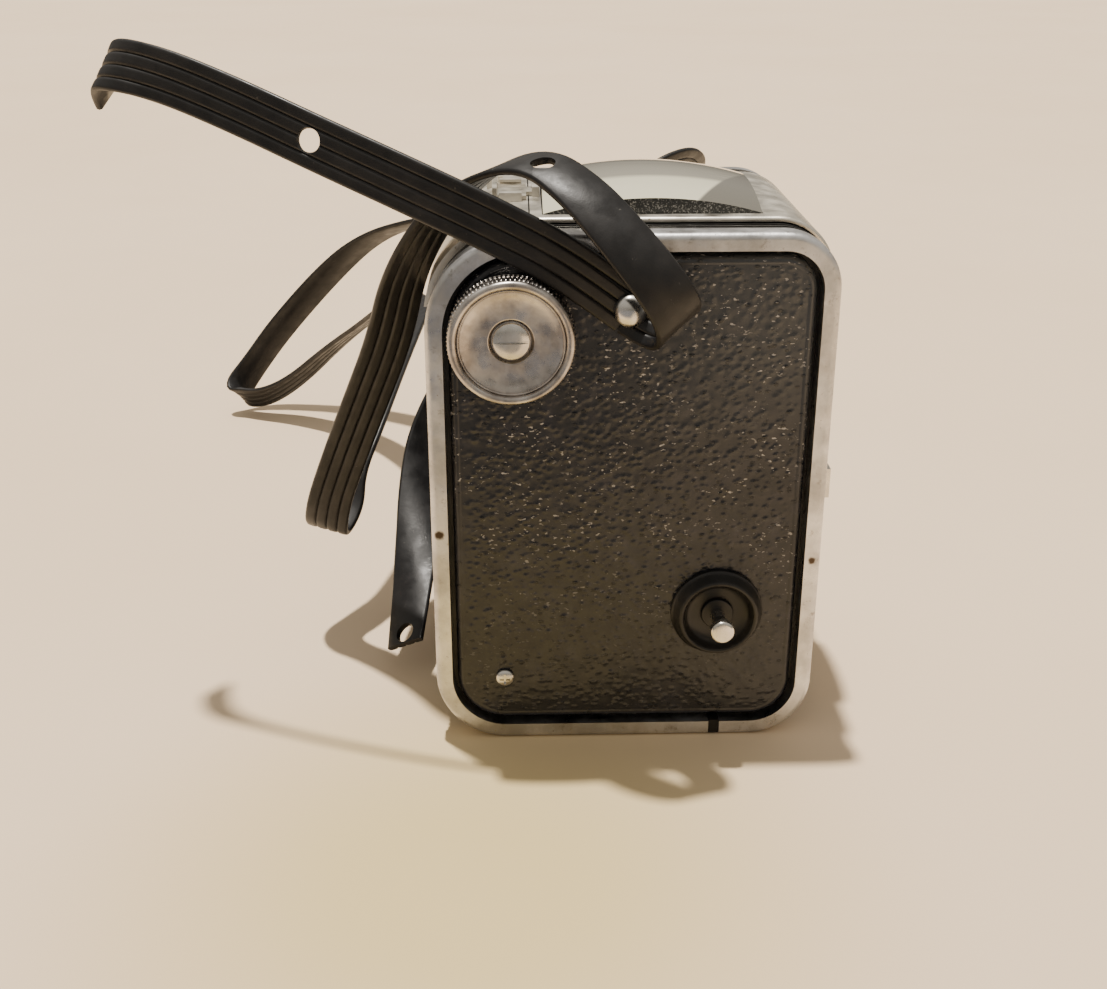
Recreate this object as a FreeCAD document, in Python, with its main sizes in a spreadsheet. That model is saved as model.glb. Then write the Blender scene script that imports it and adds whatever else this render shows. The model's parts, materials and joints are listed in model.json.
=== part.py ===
import FreeCAD, Part
import math
import os
import Sketcher

# Box camera with a top-viewing brilliant finder, for 6x6 pictures on roll film.
# X runs forward along the lens axis, Y to the camera's left, Z up. Millimetres.
# The origin is under the middle of the body, on the surface that it stands on.

DIMENSIONS = {
    # outline of the body, seen from the side
    "depth": 86.0, "height": 118.0, "width": 78.0,
    "front_top_radius": 12.0, "rear_top_radius": 21.0,
    "rear_bottom_radius": 16.0, "front_bottom_radius": 14.0,
    # trim bands, one round each side
    "band_depth": 5.0, "band_face": 3.7, "band_round": 1.5,
    "band_gap": 2.5, "band_gap_x": 21.0,
    # moulded shell
    "shell_inset": 0.5, "wall": 2.0, "side_wall": 1.6, "inner_width": 64.8,
    "rib_width": 0.9, "rib_pitch": 1.7, "rib_first": 28.1, "rib_depth": 0.6,
    # side panels
    "panel_gap": 1.1, "panel_depth": 4.2, "panel_sheet": 1.0, "panel_round": 1.8,
    # bright cover over the front and the top
    "cover_half": 27.0, "cover_proud": 0.8, "cover_inner": 0.2, "cover_low": 16.0,
    "split_x": -21.0, "sheet_roll": 0.7,
    # back cover
    "back_inset": 0.6, "back_sheet": 2.1, "back_width": 64.4, "lip_sheet": 1.0,
    "lip_reach": 3.0, "window_radius": 6.0, "window_drop": 14.0,
    # latch on the top
    "latch_length": 7.0, "latch_width": 15.0, "latch_sheet": 0.8, "tongue_width": 6.0,
    "rail_length": 5.0, "rail_y": 8.6, "lug_pitch": 2.6, "keeper_half": 4.0,
    # film path
    "spool_x": -25.0, "takeup_z": 97.0, "supply_z": 17.5, "spool_length": 64.0,
    "flange_radius": 12.3, "flange_sheet": 0.8, "core_radius": 4.0,
    "gate_size": 56.0, "gate_x": -36.0, "gate_sheet": 1.6, "axis_z": 57.25,
    "roller_radius": 1.5, "roller_x": -37.0, "roller_rise": 31.6,
    "pin_radius": 1.6, "plate_size": 58.0, "plate_sheet": 0.8,
    "cone_end": 22.0, "cone_sheet": 1.0, "slot_width": 1.7, "key_width": 1.3,
    "film_slot": 44.0, "spring_width": 6.0, "spring_length": 30.0, "spring_y": 18.0,
    # winding knob and shaft
    "knob_radius": 13.2, "knob_height": 6.2, "knob_base": 39.4,
    "shaft_radius": 2.5, "bush_radius": 4.5, "key_length": 4.3,
    # finder
    "finder_x": 5.1, "finder_size": 46.4, "finder_edge": 1.2, "dome_rise": 6.4,
    "dome_radius": 88.0, "finder_z": 92.5, "finder_ring_radius": 15.5,
    "mirror_width": 43.0, "mirror_length": 50.0, "mirror_sheet": 2.0, "mirror_shift": 17.5,
    # taking lens and shutter
    "barrel_radius": 15.0, "barrel_front": 48.3, "lens_radius": 8.0,
    "aperture_radius": 4.0, "shutter_x": 31.0, "blade_radius": 13.0,
    "blade_drop": 11.5, "release_travel": 4.0, "release_y": 21.5,
    "shutter_width": 44.0, "shutter_height": 32.0, "pivot_radius": 1.5, "blade_sheet": 0.5,
    "release_pad": 5.4, "release_tall": 7.0, "time_travel": 5.0, "time_z": 75.6, "time_tab": 2.6,
    # fittings on the sides and the base
    "stud_x": -0.5, "stud_z": 102.5, "stud_radius": 3.5, "stud_rise": 2.2,
    "contact_x": 20.4, "contact_z": 32.3, "contact_radius": 10.3, "pin_proud": 11.0, "pin_head": 2.65,
    "screw_x": -27.4, "screw_z": 15.7, "screw_radius": 2.1,
    "tripod_radius": 2.6, "tripod_length": 7.0, "tripod_flange": 7.0, "tripod_body": 5.0,
    # strap
    "strap_width": 11.0, "strap_sheet": 1.6,
}

RUNNING = 0.05          # radial clearance of a shaft in its hole
CLEAR = 0.3             # clearance between pieces that move past each other
TINY = 0.01             # overlap that makes joined solids one
PIN_FIT = 0.08          # radial clearance of a spool on its pin
KNURL_COUNT = 60        # notches round the winding knob
KNURL_RADIUS = 0.35
FAR = 100.0             # how far the cutting blocks reach, past every face of the body
SEAT = 0.4              # clearance round the finder block and its flange
MIRROR_TILT = 45.0

doc = FreeCAD.newDocument("box_camera")


class Size:
    """A length that carries its formula on the sheet beside its value."""

    def __init__(self, value, formula):
        self.value = value
        self.formula = formula

    def join(self, sign, other, value):
        return Size(value, "(%s %s %s)" % (self.formula, sign, formula_of(other)))

    def __add__(self, other):
        return self.join("+", other, self.value + value_of(other))

    def __sub__(self, other):
        return self.join("-", other, self.value - value_of(other))

    def __mul__(self, other):
        return self.join("*", other, self.value * value_of(other))

    def __truediv__(self, other):
        return self.join("/", other, self.value / value_of(other))

    def __neg__(self):
        return self * -1.0

    __radd__ = __add__
    __rmul__ = __mul__

    def __rsub__(self, other):
        return self * -1.0 + other


def value_of(size):
    return size.value if isinstance(size, Size) else float(size)


def formula_of(size):
    return size.formula if isinstance(size, Size) else "(%.6f)" % size


def make_sheet():
    """Put the driving dimensions on the sheet and return them as sizes."""
    sheet = doc.addObject("Spreadsheet::Sheet", "dims")
    for row, (alias, number) in enumerate(DIMENSIONS.items(), start=1):
        sheet.set("A%d" % row, alias)
        sheet.set("B%d" % row, str(number))
        sheet.setAlias("B%d" % row, alias)
    doc.recompute()
    return {alias: Size(float(sheet.get(alias)), "dims." + alias) for alias in DIMENSIONS}


D = make_sheet()
ALL_PIECES = []


def bind(obj, prop, size):
    """Tie a property to the sheet."""
    if isinstance(size, Size):
        obj.setExpression(prop, size.formula)
    else:
        setattr(obj, prop, size)


def place(obj, at, rotation=None):
    """Put an object at a point whose coordinates may be sizes."""
    base = FreeCAD.Vector(*[value_of(c) for c in at])
    obj.Placement = FreeCAD.Placement(base, rotation or FreeCAD.Rotation())
    for letter, size in zip("xyz", at):
        if isinstance(size, Size):
            obj.setExpression("Placement.Base." + letter, size.formula)
    return obj


ALONG = {
    "x": FreeCAD.Rotation(FreeCAD.Vector(0, 0, 1), FreeCAD.Vector(1, 0, 0)),
    "-y": FreeCAD.Rotation(FreeCAD.Vector(0, 0, 1), FreeCAD.Vector(0, -1, 0)),
    "y": FreeCAD.Rotation(FreeCAD.Vector(0, 0, 1), FreeCAD.Vector(0, 1, 0)),
    "z": FreeCAD.Rotation(),
}


def cylinder(name, radius, length, at, along="z"):
    obj = doc.addObject("Part::Cylinder", name)
    bind(obj, "Radius", radius)
    bind(obj, "Height", length)
    return place(obj, at, ALONG[along])


def box(name, size, at, rotation=None):
    """A box whose lowest corner is at the given point."""
    obj = doc.addObject("Part::Box", name)
    for prop, length in zip(("Length", "Width", "Height"), size):
        bind(obj, prop, length)
    return place(obj, at, rotation)


def middle_box(name, size, centre):
    """A box round its centre."""
    return box(name, size, [middle - length / 2 for middle, length in zip(centre, size)])


def fuse(name, pieces):
    obj = doc.addObject("Part::MultiFuse", name)
    obj.Shapes = pieces
    obj.Refine = True
    return obj


def cut(name, base, tools):
    """Take one or more tools away from a base."""
    obj = doc.addObject("Part::Cut", name)
    obj.Base = base
    obj.Tool = tools[0] if len(tools) == 1 else fuse(name + "_tools", tools)
    return obj


def common(name, first, second):
    obj = doc.addObject("Part::MultiCommon", name)
    obj.Shapes = [first, second]
    return obj


def group(name, pieces):
    """Separate solids that share one node."""
    obj = doc.addObject("Part::Compound", name)
    obj.Links = pieces
    return obj


def piece(name, obj):
    """Name a finished sub-part: its label is the name of its node."""
    obj.Label = name
    ALL_PIECES.append(obj)
    return obj


# ---------------------------------------------------------------- sketches

def new_body(name):
    return doc.addObject("PartDesign::Body", name)


def new_sketch(body, name, role, offset=0.0):
    """A sketch on one of the body's own origin planes, moved along its normal."""
    sketch = body.newObject("Sketcher::SketchObject", name)
    plane = [f for f in body.Origin.OriginFeatures if f.Role == role][0]
    sketch.AttachmentSupport = [(plane, "")]
    sketch.MapMode = "FlatFace"
    sketch.AttachmentOffset = FreeCAD.Placement(
        FreeCAD.Vector(0, 0, value_of(offset)), FreeCAD.Rotation())
    if isinstance(offset, Size):
        sketch.setExpression("AttachmentOffset.Base.z", offset.formula)
    return sketch


def tie(sketch, index, size):
    """Tie a constraint of a sketch to the sheet."""
    if isinstance(size, Size):
        sketch.setExpression("Constraints[%d]" % index, size.formula)


def fix_point(sketch, geometry, end, x, y):
    """Hold one end of an edge at coordinates tied to the sheet."""
    for kind, size in (("DistanceX", x), ("DistanceY", y)):
        number = value_of(size)
        if abs(number) < 1e-9 and not isinstance(size, Size):
            on = -2 if kind == "DistanceX" else -1
            sketch.addConstraint(Sketcher.Constraint("PointOnObject", geometry, end, on))
            continue
        index = sketch.addConstraint(
            Sketcher.Constraint(kind, -1, 1, geometry, end, number))
        tie(sketch, index, size)


def polygon(sketch, points):
    """A closed outline of straight lines through points that may be sizes."""
    flat = [FreeCAD.Vector(value_of(x), value_of(y), 0) for x, y in points]
    count = len(points)
    for i in range(count):
        sketch.addGeometry(Part.LineSegment(flat[i], flat[(i + 1) % count]), False)
    first = sketch.GeometryCount - count
    for i in range(count):
        after = first + (i + 1) % count
        sketch.addConstraint(Sketcher.Constraint("Coincident", first + i, 2, after, 1))
        fix_point(sketch, first + i, 1, points[i][0], points[i][1])


def side_outline(sketch, inset):
    """The body's outline, seen from the side, moved inwards by a distance.

    Four lines and four arcs; each corner has a radius of its own.
    """
    west = -(D["depth"] / 2) + inset
    east = D["depth"] / 2 - inset
    floor = 0.0 + inset
    roof = D["height"] - inset
    corners = [
        (east, roof, D["front_top_radius"] - inset, 0),
        (west, roof, D["rear_top_radius"] - inset, 90),
        (west, floor, D["rear_bottom_radius"] - inset, 180),
        (east, floor, D["front_bottom_radius"] - inset, 270),
    ]
    arcs = []
    for x, z, radius, start in corners:
        middle = math.radians(start + 45)
        cx = value_of(x) - math.copysign(value_of(radius), math.cos(middle))
        cz = value_of(z) - math.copysign(value_of(radius), math.sin(middle))
        round_corner = Part.Circle(
            FreeCAD.Vector(cx, cz, 0), FreeCAD.Vector(0, 0, 1), value_of(radius))
        arc = Part.ArcOfCircle(round_corner, math.radians(start), math.radians(start + 90))
        arcs.append(sketch.addGeometry(arc, False))
    for i, arc in enumerate(arcs):
        start = sketch.Geometry[arc].EndPoint
        after = arcs[(i + 1) % len(arcs)]
        end = sketch.Geometry[after].StartPoint
        line = sketch.addGeometry(Part.LineSegment(start, end), False)
        sketch.addConstraint(Sketcher.Constraint("Tangent", arc, 2, line, 1))
        sketch.addConstraint(Sketcher.Constraint("Tangent", line, 2, after, 1))
        level = "Horizontal" if i % 2 == 0 else "Vertical"
        sketch.addConstraint(Sketcher.Constraint(level, line))
        kind, size = (("DistanceY", roof), ("DistanceX", west),
                      ("DistanceY", floor), ("DistanceX", east))[i]
        index = sketch.addConstraint(
            Sketcher.Constraint(kind, -1, 1, line, 1, value_of(size)))
        tie(sketch, index, size)
    for arc, (x, z, radius, start) in zip(arcs, corners):
        index = sketch.addConstraint(Sketcher.Constraint("Radius", arc, value_of(radius)))
        tie(sketch, index, radius)


def pad(body, sketch, length, middle=False):
    feature = body.newObject("PartDesign::Pad", sketch.Name + "_pad")
    feature.Profile = sketch
    feature.Midplane = middle
    bind(feature, "Length", length)
    return feature


def outline_slab(name, insets, length, offset=None):
    """A slab of the side outline; two insets make it a ring.

    With no offset it lies across the middle; otherwise it runs towards -Y
    from the plane Y = -offset.
    """
    body = new_body(name)
    sketch = new_sketch(body, name + "_outline", "XZ_Plane", offset if offset is not None else 0.0)
    for inset in insets:
        side_outline(sketch, inset)
    pad(body, sketch, length, middle=offset is None)
    return body


def turned(name, profile, at, along):
    """A turned piece from (radius, distance along its axis) points."""
    body = new_body(name)
    sketch = new_sketch(body, name + "_profile", "XZ_Plane")
    polygon(sketch, profile)
    feature = body.newObject("PartDesign::Revolution", name + "_turn")
    feature.Profile = sketch
    feature.ReferenceAxis = (sketch, ["V_Axis"])
    feature.Angle = 360.0
    return place(body, at, ALONG[along])


def round_rims(body, name, levels, radius):
    """Round the outside edges of a slab's end faces at the given Y levels."""
    doc.recompute()
    base = body.Tip
    edges = []
    for face in base.Shape.Faces:
        low, high = face.BoundBox.YMin, face.BoundBox.YMax
        if any(abs(low - y) < TINY and abs(high - y) < TINY for y in levels):
            for number, edge in enumerate(base.Shape.Edges, start=1):
                if any(edge.isSame(rim) for rim in face.OuterWire.Edges):
                    edges.append("Edge%d" % number)
    feature = body.newObject("PartDesign::Fillet", name)
    feature.Base = (base, edges)
    bind(feature, "Radius", radius)


# ---------------------------------------------------------------- side trim and panels

HALF_WIDTH = D["width"] / 2
WALL_FACE = D["width"] / 2 - D["band_depth"]
PANEL_FACE = WALL_FACE + D["panel_depth"]
SIDES = {"right": -1, "left": 1}
STUD_NECK = 1.45        # radius of the stud under its head
SCREW_HOLE = 1.3        # holes in the wall and the panel
CONTACT_HOLE = 3.0


def trim_band(side):
    """A bright hoop round the side, with its ends a little apart underneath."""
    sign = SIDES[side]
    start = WALL_FACE if sign < 0 else -HALF_WIDTH
    ring = outline_slab(side + "_ring", (0.0, D["band_face"]), D["band_depth"], start)
    round_rims(ring, side + "_band_round", [sign * value_of(HALF_WIDTH)], D["band_round"])
    gap = middle_box(side + "_band_gap", (D["band_gap"], D["band_depth"] * 3, D["band_face"] * 3),
                     (D["band_gap_x"], HALF_WIDTH * sign, 0.0))
    return piece(side + "_trim_band", cut(side + "_band_cut", ring, [gap]))


def side_panel(side):
    """A shallow pressed tray inside the band, open towards the shell."""
    sign = SIDES[side]
    inset = D["band_face"] + D["panel_gap"]
    start = WALL_FACE if sign < 0 else -(WALL_FACE + D["panel_depth"])
    tray = outline_slab(side + "_tray", (inset,), D["panel_depth"], start)
    face = value_of(WALL_FACE + D["panel_depth"])
    round_rims(tray, side + "_tray_round", [sign * face], D["panel_round"])
    hollow_start = WALL_FACE - 1 if sign < 0 else -(WALL_FACE + D["panel_depth"] - D["panel_sheet"])
    hollow = outline_slab(side + "_tray_hollow", (inset + D["panel_sheet"],),
                          D["panel_depth"] - D["panel_sheet"] + 1, hollow_start)
    tools = [hollow]
    reach = HALF_WIDTH * 2
    along = "-y" if sign < 0 else "y"
    holes = [("stud", D["stud_x"], D["stud_z"], STUD_NECK),
             ("screw", D["screw_x"], D["screw_z"], SCREW_HOLE)]
    if sign < 0:
        holes.append(("knob", D["spool_x"], D["takeup_z"], D["bush_radius"] + CLEAR))
        holes.append(("contact", D["contact_x"], D["contact_z"], CONTACT_HOLE))
    for name, x, z, radius in holes:
        tools.append(cylinder("%s_panel_%s_hole" % (side, name), radius, reach,
                              (x, 0.0, z), along))
    return piece(side + "_side_panel", cut(side + "_panel_cut", tray, tools))


# ---------------------------------------------------------------- shell, cover and back

def rib_grooves(name):
    """Rings that cut the fine grooves beside each band."""
    rings = []
    outer = -2.0
    inner = D["shell_inset"] + D["rib_depth"]
    for i in range(3):
        offset = D["rib_first"] + D["rib_pitch"] * i
        rings.append(outline_slab("%s_right_%d" % (name, i), (outer, inner),
                                  D["rib_width"], offset))
        rings.append(outline_slab("%s_left_%d" % (name, i), (outer, inner),
                                  D["rib_width"], -(offset + D["rib_width"])))
    return rings


def lens_openings(name):
    """Round holes through the front for both lenses, and slots for the levers."""
    front = D["depth"] / 2 - 8
    tools = [
        cylinder(name + "_barrel_hole", D["barrel_radius"] - 2.0, 20.0,
                 (front, 0.0, D["axis_z"]), "x"),
        cylinder(name + "_finder_hole", D["finder_ring_radius"] - 2.0, 20.0,
                 (front, 0.0, D["finder_z"]), "x"),
    ]
    tools.append(middle_box(name + "_release_slot", (20.0, 3.6, D["release_travel"] + 4.6),
                            (D["depth"] / 2, -(D["release_y"]), D["axis_z"] - D["release_travel"] / 2)))
    tools.append(middle_box(name + "_time_slot", (20.0, D["time_travel"] + 3.4, 2.6),
                            (D["depth"] / 2, D["time_travel"] / 2, D["time_z"])))
    return tools


def finder_opening(name, grow):
    size = D["finder_size"] + grow
    return middle_box(name, (size, size, 20.0), (D["finder_x"], 0.0, D["height"]))


def body_shell():
    """The moulded wrapper between the side walls, in three plates, open at the rear for the cover."""
    wrapper = outline_slab("shell_wrapper", (D["shell_inset"], D["shell_inset"] + D["wall"]),
                           D["inner_width"])
    rear = box("shell_rear_opening", (FAR, D["inner_width"] * 2, D["height"] * 2),
               (D["split_x"] - FAR, -(D["inner_width"]), -(D["height"] / 2)))
    rebate_ring = outline_slab("shell_rebate", (-2.0, D["shell_inset"] + 0.3),
                               D["cover_half"] * 2 + 0.4)
    keep_low = box("shell_rebate_keep", (FAR * 2, FAR * 2, D["cover_low"] - CLEAR + FAR),
                   (-FAR, -FAR, -FAR))
    rebate = cut("shell_rebate_cut", rebate_ring, [keep_low])
    tripod = cylinder("shell_tripod_hole", D["tripod_body"], FAR / 8, (0.0, 0.0, -4.0))
    whole = cut("shell_cut", wrapper, [rear, rebate, tripod, finder_opening("shell_window", SEAT)]
                + rib_grooves("shell_groove") + lens_openings("shell"))
    bend = D["depth"] / 2 - D["front_top_radius"]
    front = box("shell_front_zone", (FAR, FAR, FAR * 2), (bend, -FAR / 2, -FAR / 2))
    top = box("shell_top_zone", (FAR, FAR, FAR), (bend - FAR, -FAR / 2, D["height"] / 2))
    base = box("shell_base_zone", (FAR, FAR, FAR), (bend - FAR, -FAR / 2, D["height"] / 2 - FAR))
    return (piece("body_shell", common("shell_front_part", whole, front)),
            piece("shell_top", common("shell_top_part", whole, top)),
            piece("shell_base", common("shell_base_part", whole, base)))


def side_wall(side):
    """Flat moulded wall that closes one side, with a tab in the gap of its trim band."""
    sign = SIDES[side]
    start = D["inner_width"] / 2 if sign < 0 else -WALL_FACE
    slab = outline_slab(side + "_wall_slab", (D["shell_inset"],), D["side_wall"], start)
    along = "-y" if sign < 0 else "y"
    inner = (D["inner_width"] / 2 - 2) * sign
    holes = [("stud", D["stud_x"], D["stud_z"], STUD_NECK),
             ("screw", D["screw_x"], D["screw_z"], SCREW_HOLE)]
    if sign < 0:
        holes.append(("bush", D["spool_x"], D["takeup_z"], D["bush_radius"] + RUNNING))
        holes.append(("contact", D["contact_x"], D["contact_z"], CONTACT_HOLE))
    tools = [cylinder("%s_wall_%s" % (side, name), radius, 10.0, (x, inner, z), along)
             for name, x, z, radius in holes]
    height = D["band_face"] - CLEAR
    tab = middle_box(side + "_wall_tab", (D["band_gap"] - 0.2, D["band_depth"], height),
                     (D["band_gap_x"], (HALF_WIDTH - D["band_depth"] / 2 - 0.5) * sign, height / 2 + 0.4))
    return piece(side + "_side_wall", fuse(side + "_wall_all", [cut(side + "_wall_cut", slab, tools), tab]))


def front_cover():
    """Bright sheet over the front and the top, as far back as the split."""
    outer = D["cover_proud"] * -1.0
    ring = outline_slab("cover_ring", (outer, D["cover_inner"]), D["cover_half"] * 2)
    half = value_of(D["cover_half"])
    round_rims(ring, "cover_rolled_edge", [-half, half], D["sheet_roll"])
    low = box("cover_low_cut", (FAR * 2, FAR, FAR), (-FAR, -FAR / 2, D["cover_low"] - FAR))
    rear = box("cover_rear_cut", (FAR, FAR, FAR * 2),
               (D["split_x"] + CLEAR / 2 - FAR, -FAR / 2, -FAR / 2))
    return piece("front_cover", cut("cover_cut", ring,
                                    [low, rear, finder_opening("cover_top", SEAT)]
                                    + lens_openings("cover")))


def back_cover():
    """Pull-off back, with lips that slide under the shell's edges."""
    ring = outline_slab("back_ring", (D["back_inset"], D["back_inset"] + D["back_sheet"]),
                        D["back_width"])
    lips = outline_slab("back_lips", (D["shell_inset"] + D["wall"] + 0.1,
                                      D["shell_inset"] + D["wall"] + 0.1 + D["lip_sheet"]),
                        D["back_width"] - 3)
    edge = D["split_x"] - CLEAR / 2
    behind = box("back_half", (FAR, FAR, FAR * 2), (edge - FAR, -FAR / 2, -FAR / 2))
    lip_zone = box("back_lip_zone", (D["lip_reach"] + 1.2, FAR, FAR * 2),
                   (edge - D["lip_reach"], -FAR / 2, -FAR / 2))
    window = cylinder("back_window_hole", D["window_radius"], 12.0,
                      (-(D["depth"] / 2) - 4, 0.0, D["axis_z"] - D["window_drop"]), "x")
    shell = common("back_shell", ring, behind)
    lip = common("back_lip", lips, lip_zone)
    grooves = rib_grooves("back_groove")
    return piece("back_cover", cut("back_cut", fuse("back_body", [shell, lip]), grooves + [window]))


def rear_deck():
    """Bright sheet on the top of the back, ending where the rear face begins."""
    ring = outline_slab("deck_ring", (D["cover_proud"] * -1.0, D["back_inset"]), D["cover_half"] * 2)
    zone = box("deck_zone", (FAR, FAR, FAR),
               (D["split_x"] - CLEAR / 2 - FAR, -FAR / 2, D["height"] - D["rear_top_radius"] + 3))
    return piece("rear_deck", common("deck_all", ring, zone))


def back_panel():
    """Grained plate on the rear face of the back."""
    height = D["height"] - D["rear_top_radius"] - D["rear_bottom_radius"] - 2
    plate = middle_box("back_plate", (D["back_inset"] + 0.2, D["cover_half"] * 2, height),
                       (-(D["depth"] / 2) + (D["back_inset"] - 0.2) / 2, 0.0,
                        D["rear_bottom_radius"] + 1 + height / 2))
    window = cylinder("panel_window_hole", D["window_radius"], 12.0,
                      (-(D["depth"] / 2) - 4, 0.0, D["axis_z"] - D["window_drop"]), "x")
    return piece("back_panel", cut("back_panel_cut", plate, [window]))


def back_latch():
    """Slide on the rear deck: a plate with a finger lip and a tongue."""
    top = D["height"] + D["cover_proud"] + 0.1
    plate = middle_box("latch_plate", (D["latch_length"], D["latch_width"], D["latch_sheet"]),
                       (D["split_x"] - 4, 0.0, top + D["latch_sheet"] / 2))
    lip = middle_box("latch_lip", (1.0, D["latch_width"], D["latch_sheet"] * 3),
                     (D["split_x"] - 4 - D["latch_length"] / 2, 0.0, top + D["latch_sheet"] * 1.5))
    tongue = middle_box("latch_tongue", (3.2, D["tongue_width"], D["latch_sheet"]),
                        (D["split_x"] + 0.6, 0.0, top + D["latch_sheet"] / 2))
    return piece("back_latch", fuse("latch_all", [plate, lip, tongue]))


def latch_guides():
    """Two small rails that hold the latch down, and the two lugs beside it."""
    top = D["height"] + D["cover_proud"]
    solids = []
    for side, sign in SIDES.items():
        rail = middle_box("guide_rail_" + side, (D["rail_length"], 1.2, 3.4),
                          (D["split_x"] - 4, D["rail_y"] * sign, top - 0.1))
        cap = middle_box("guide_cap_" + side, (D["rail_length"], 2.2, 0.6),
                         (D["split_x"] - 4, (D["rail_y"] - 0.5) * sign, top + 1.5))
        solids.append(fuse("guide_" + side, [rail, cap]))
    for i in range(2):
        solids.append(middle_box("guide_lug_%d" % i, (1.2, 1.0, 4.4),
                                 (D["split_x"] - 9 + D["lug_pitch"] * i, D["latch_width"] - 0.5, top - 0.9)))
    deck = [outline_slab("guide_deck_%d" % i, (D["cover_proud"] * -1.0,), D["cover_half"] * 2)
            for i in range(len(solids))]
    fitted = [cut("guide_fitted_%d" % i, solid, [deck[i]]) for i, solid in enumerate(solids)]
    return piece("latch_guides", group("latch_guides_all", fitted))


def latch_keeper():
    """Low bridge on the front cover that the latch's tongue runs under."""
    top = D["height"] + D["cover_proud"]
    posts = [middle_box("keeper_post_%d" % i, (1.6, 1.0, 2.2),
                        (D["split_x"] + 1.6, D["keeper_half"] * sign, top + 1.1))
             for i, sign in enumerate((-1, 1))]
    bar = middle_box("keeper_bar", (1.6, D["keeper_half"] * 2 + 1, 0.6),
                     (D["split_x"] + 1.6, 0.0, top + 1.9))
    return piece("latch_keeper", fuse("latch_keeper_all", posts + [bar]))


def red_window():
    """Round red window in the back, for reading the frame number."""
    return piece("red_window", cylinder("red_window_disc", D["window_radius"] - 0.2, 1.6,
                                        (-(D["depth"] / 2) + D["back_inset"] - 0.4, 0.0,
                                         D["axis_z"] - 14), "x"))


# ---------------------------------------------------------------- film path

ROLLER_HALF = 31.0      # half the length of a film roller
EAR_SHEET = 0.8         # sheet of the ears that carry the rollers
EAR_HALF = 32.1         # outer face of the ears, from the middle
PIVOT_RADIUS = 0.7      # pivots on the ends of the rollers


def image_cone():
    """Black tapering box from the shutter to the film gate, with the gate's flat frame."""
    length = D["shutter_x"] - D["gate_x"] - D["gate_sheet"] - 1.0
    start = D["gate_x"] + D["gate_sheet"] - TINY
    half = D["gate_size"] / 2

    def tapered(name, grow):
        wedge = doc.addObject("Part::Wedge", name)
        near, far = half + grow, D["cone_end"] / 2 + grow
        for prop, size in (("Xmin", -near), ("Xmax", near), ("Zmin", -near), ("Zmax", near),
                           ("X2min", -far), ("X2max", far), ("Z2min", -far), ("Z2max", far),
                           ("Ymin", 0.0), ("Ymax", length)):
            if isinstance(size, float):
                size = Size(size, "%.4f" % size)
            wedge.setExpression(prop, size.formula)
            setattr(wedge, prop, size.value)
        turn = FreeCAD.Rotation(FreeCAD.Vector(0, 0, 1), -90)
        return place(wedge, (start, 0.0, D["axis_z"]), turn)

    outer = tapered("cone_outer", D["cone_sheet"])
    inner = tapered("cone_inner", 0.0)
    frame = middle_box("gate_frame", (D["gate_sheet"], D["inner_width"] - 0.6, 59.5),
                       (D["gate_x"] + D["gate_sheet"] / 2, 0.0, D["axis_z"]))
    opening = middle_box("gate_opening", (8.0, D["gate_size"], D["gate_size"]),
                         (D["gate_x"], 0.0, D["axis_z"]))
    mouth = middle_box("cone_mouth", (10.0, D["cone_end"] - 1, D["cone_end"] - 1),
                       (D["shutter_x"], 0.0, D["axis_z"]))
    ears = []
    for i, (up, out) in enumerate(((1, 1), (1, -1), (-1, 1), (-1, -1))):
        ears.append(middle_box("gate_ear_%d" % i, (3.0, EAR_SHEET, 4.8),
                               (D["roller_x"] - 0.1, (EAR_HALF - EAR_SHEET / 2) * out,
                                D["axis_z"] + (D["roller_rise"] - 1.2) * up)))
    pivots = [cylinder("gate_pivot_hole_%d" % i, PIVOT_RADIUS + RUNNING, D["inner_width"],
                       (D["roller_x"], D["inner_width"] / 2, D["axis_z"] + D["roller_rise"] * up), "-y")
              for i, up in enumerate((1, -1))]
    return piece("image_cone", cut("cone_cut", fuse("cone_body", [outer, frame] + ears),
                                   [inner, opening, mouth] + pivots))


def film_rollers():
    """A thin steel roller above and below the gate, on pivots in the gate's ears."""
    for name, sign in (("upper", 1), ("lower", -1)):
        z = D["axis_z"] + D["roller_rise"] * sign
        rod = cylinder(name + "_roller_rod", D["roller_radius"], ROLLER_HALF * 2,
                       (D["roller_x"], ROLLER_HALF, z), "-y")
        pivot = cylinder(name + "_roller_pivot", PIVOT_RADIUS, EAR_HALF * 2,
                         (D["roller_x"], EAR_HALF, z), "-y")
        piece(name + "_film_roller", fuse(name + "_roller_all", [rod, pivot]))


def spool(name, z):
    """A flanged film spool with a keyed hole in each end."""
    half = D["spool_length"] / 2
    rim = D["flange_radius"]
    core = D["core_radius"]
    profile = [(0.0, -half), (rim, -half), (rim, -half + D["flange_sheet"]),
               (core, -half + D["flange_sheet"]), (core, half - D["flange_sheet"]),
               (rim, half - D["flange_sheet"]), (rim, half), (0.0, half)]
    body = turned(name + "_turned", profile, (D["spool_x"], 0.0, z), "-y")
    tools = []
    for i, sign in enumerate((-1, 1)):
        tools.append(middle_box("%s_key_slot_%d" % (name, i), (6.4, 10.0, D["slot_width"]),
                                (D["spool_x"], half * sign, z)))
        tools.append(cylinder("%s_pin_hole_%d" % (name, i), D["pin_radius"] + PIN_FIT, 10.0,
                              (D["spool_x"], half * sign + 5, z), "-y"))
    tools.append(middle_box(name + "_film_slot", (10.0, D["film_slot"], 1.0), (D["spool_x"], 0.0, z)))
    return piece(name, cut(name + "_cut", body, tools))


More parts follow.
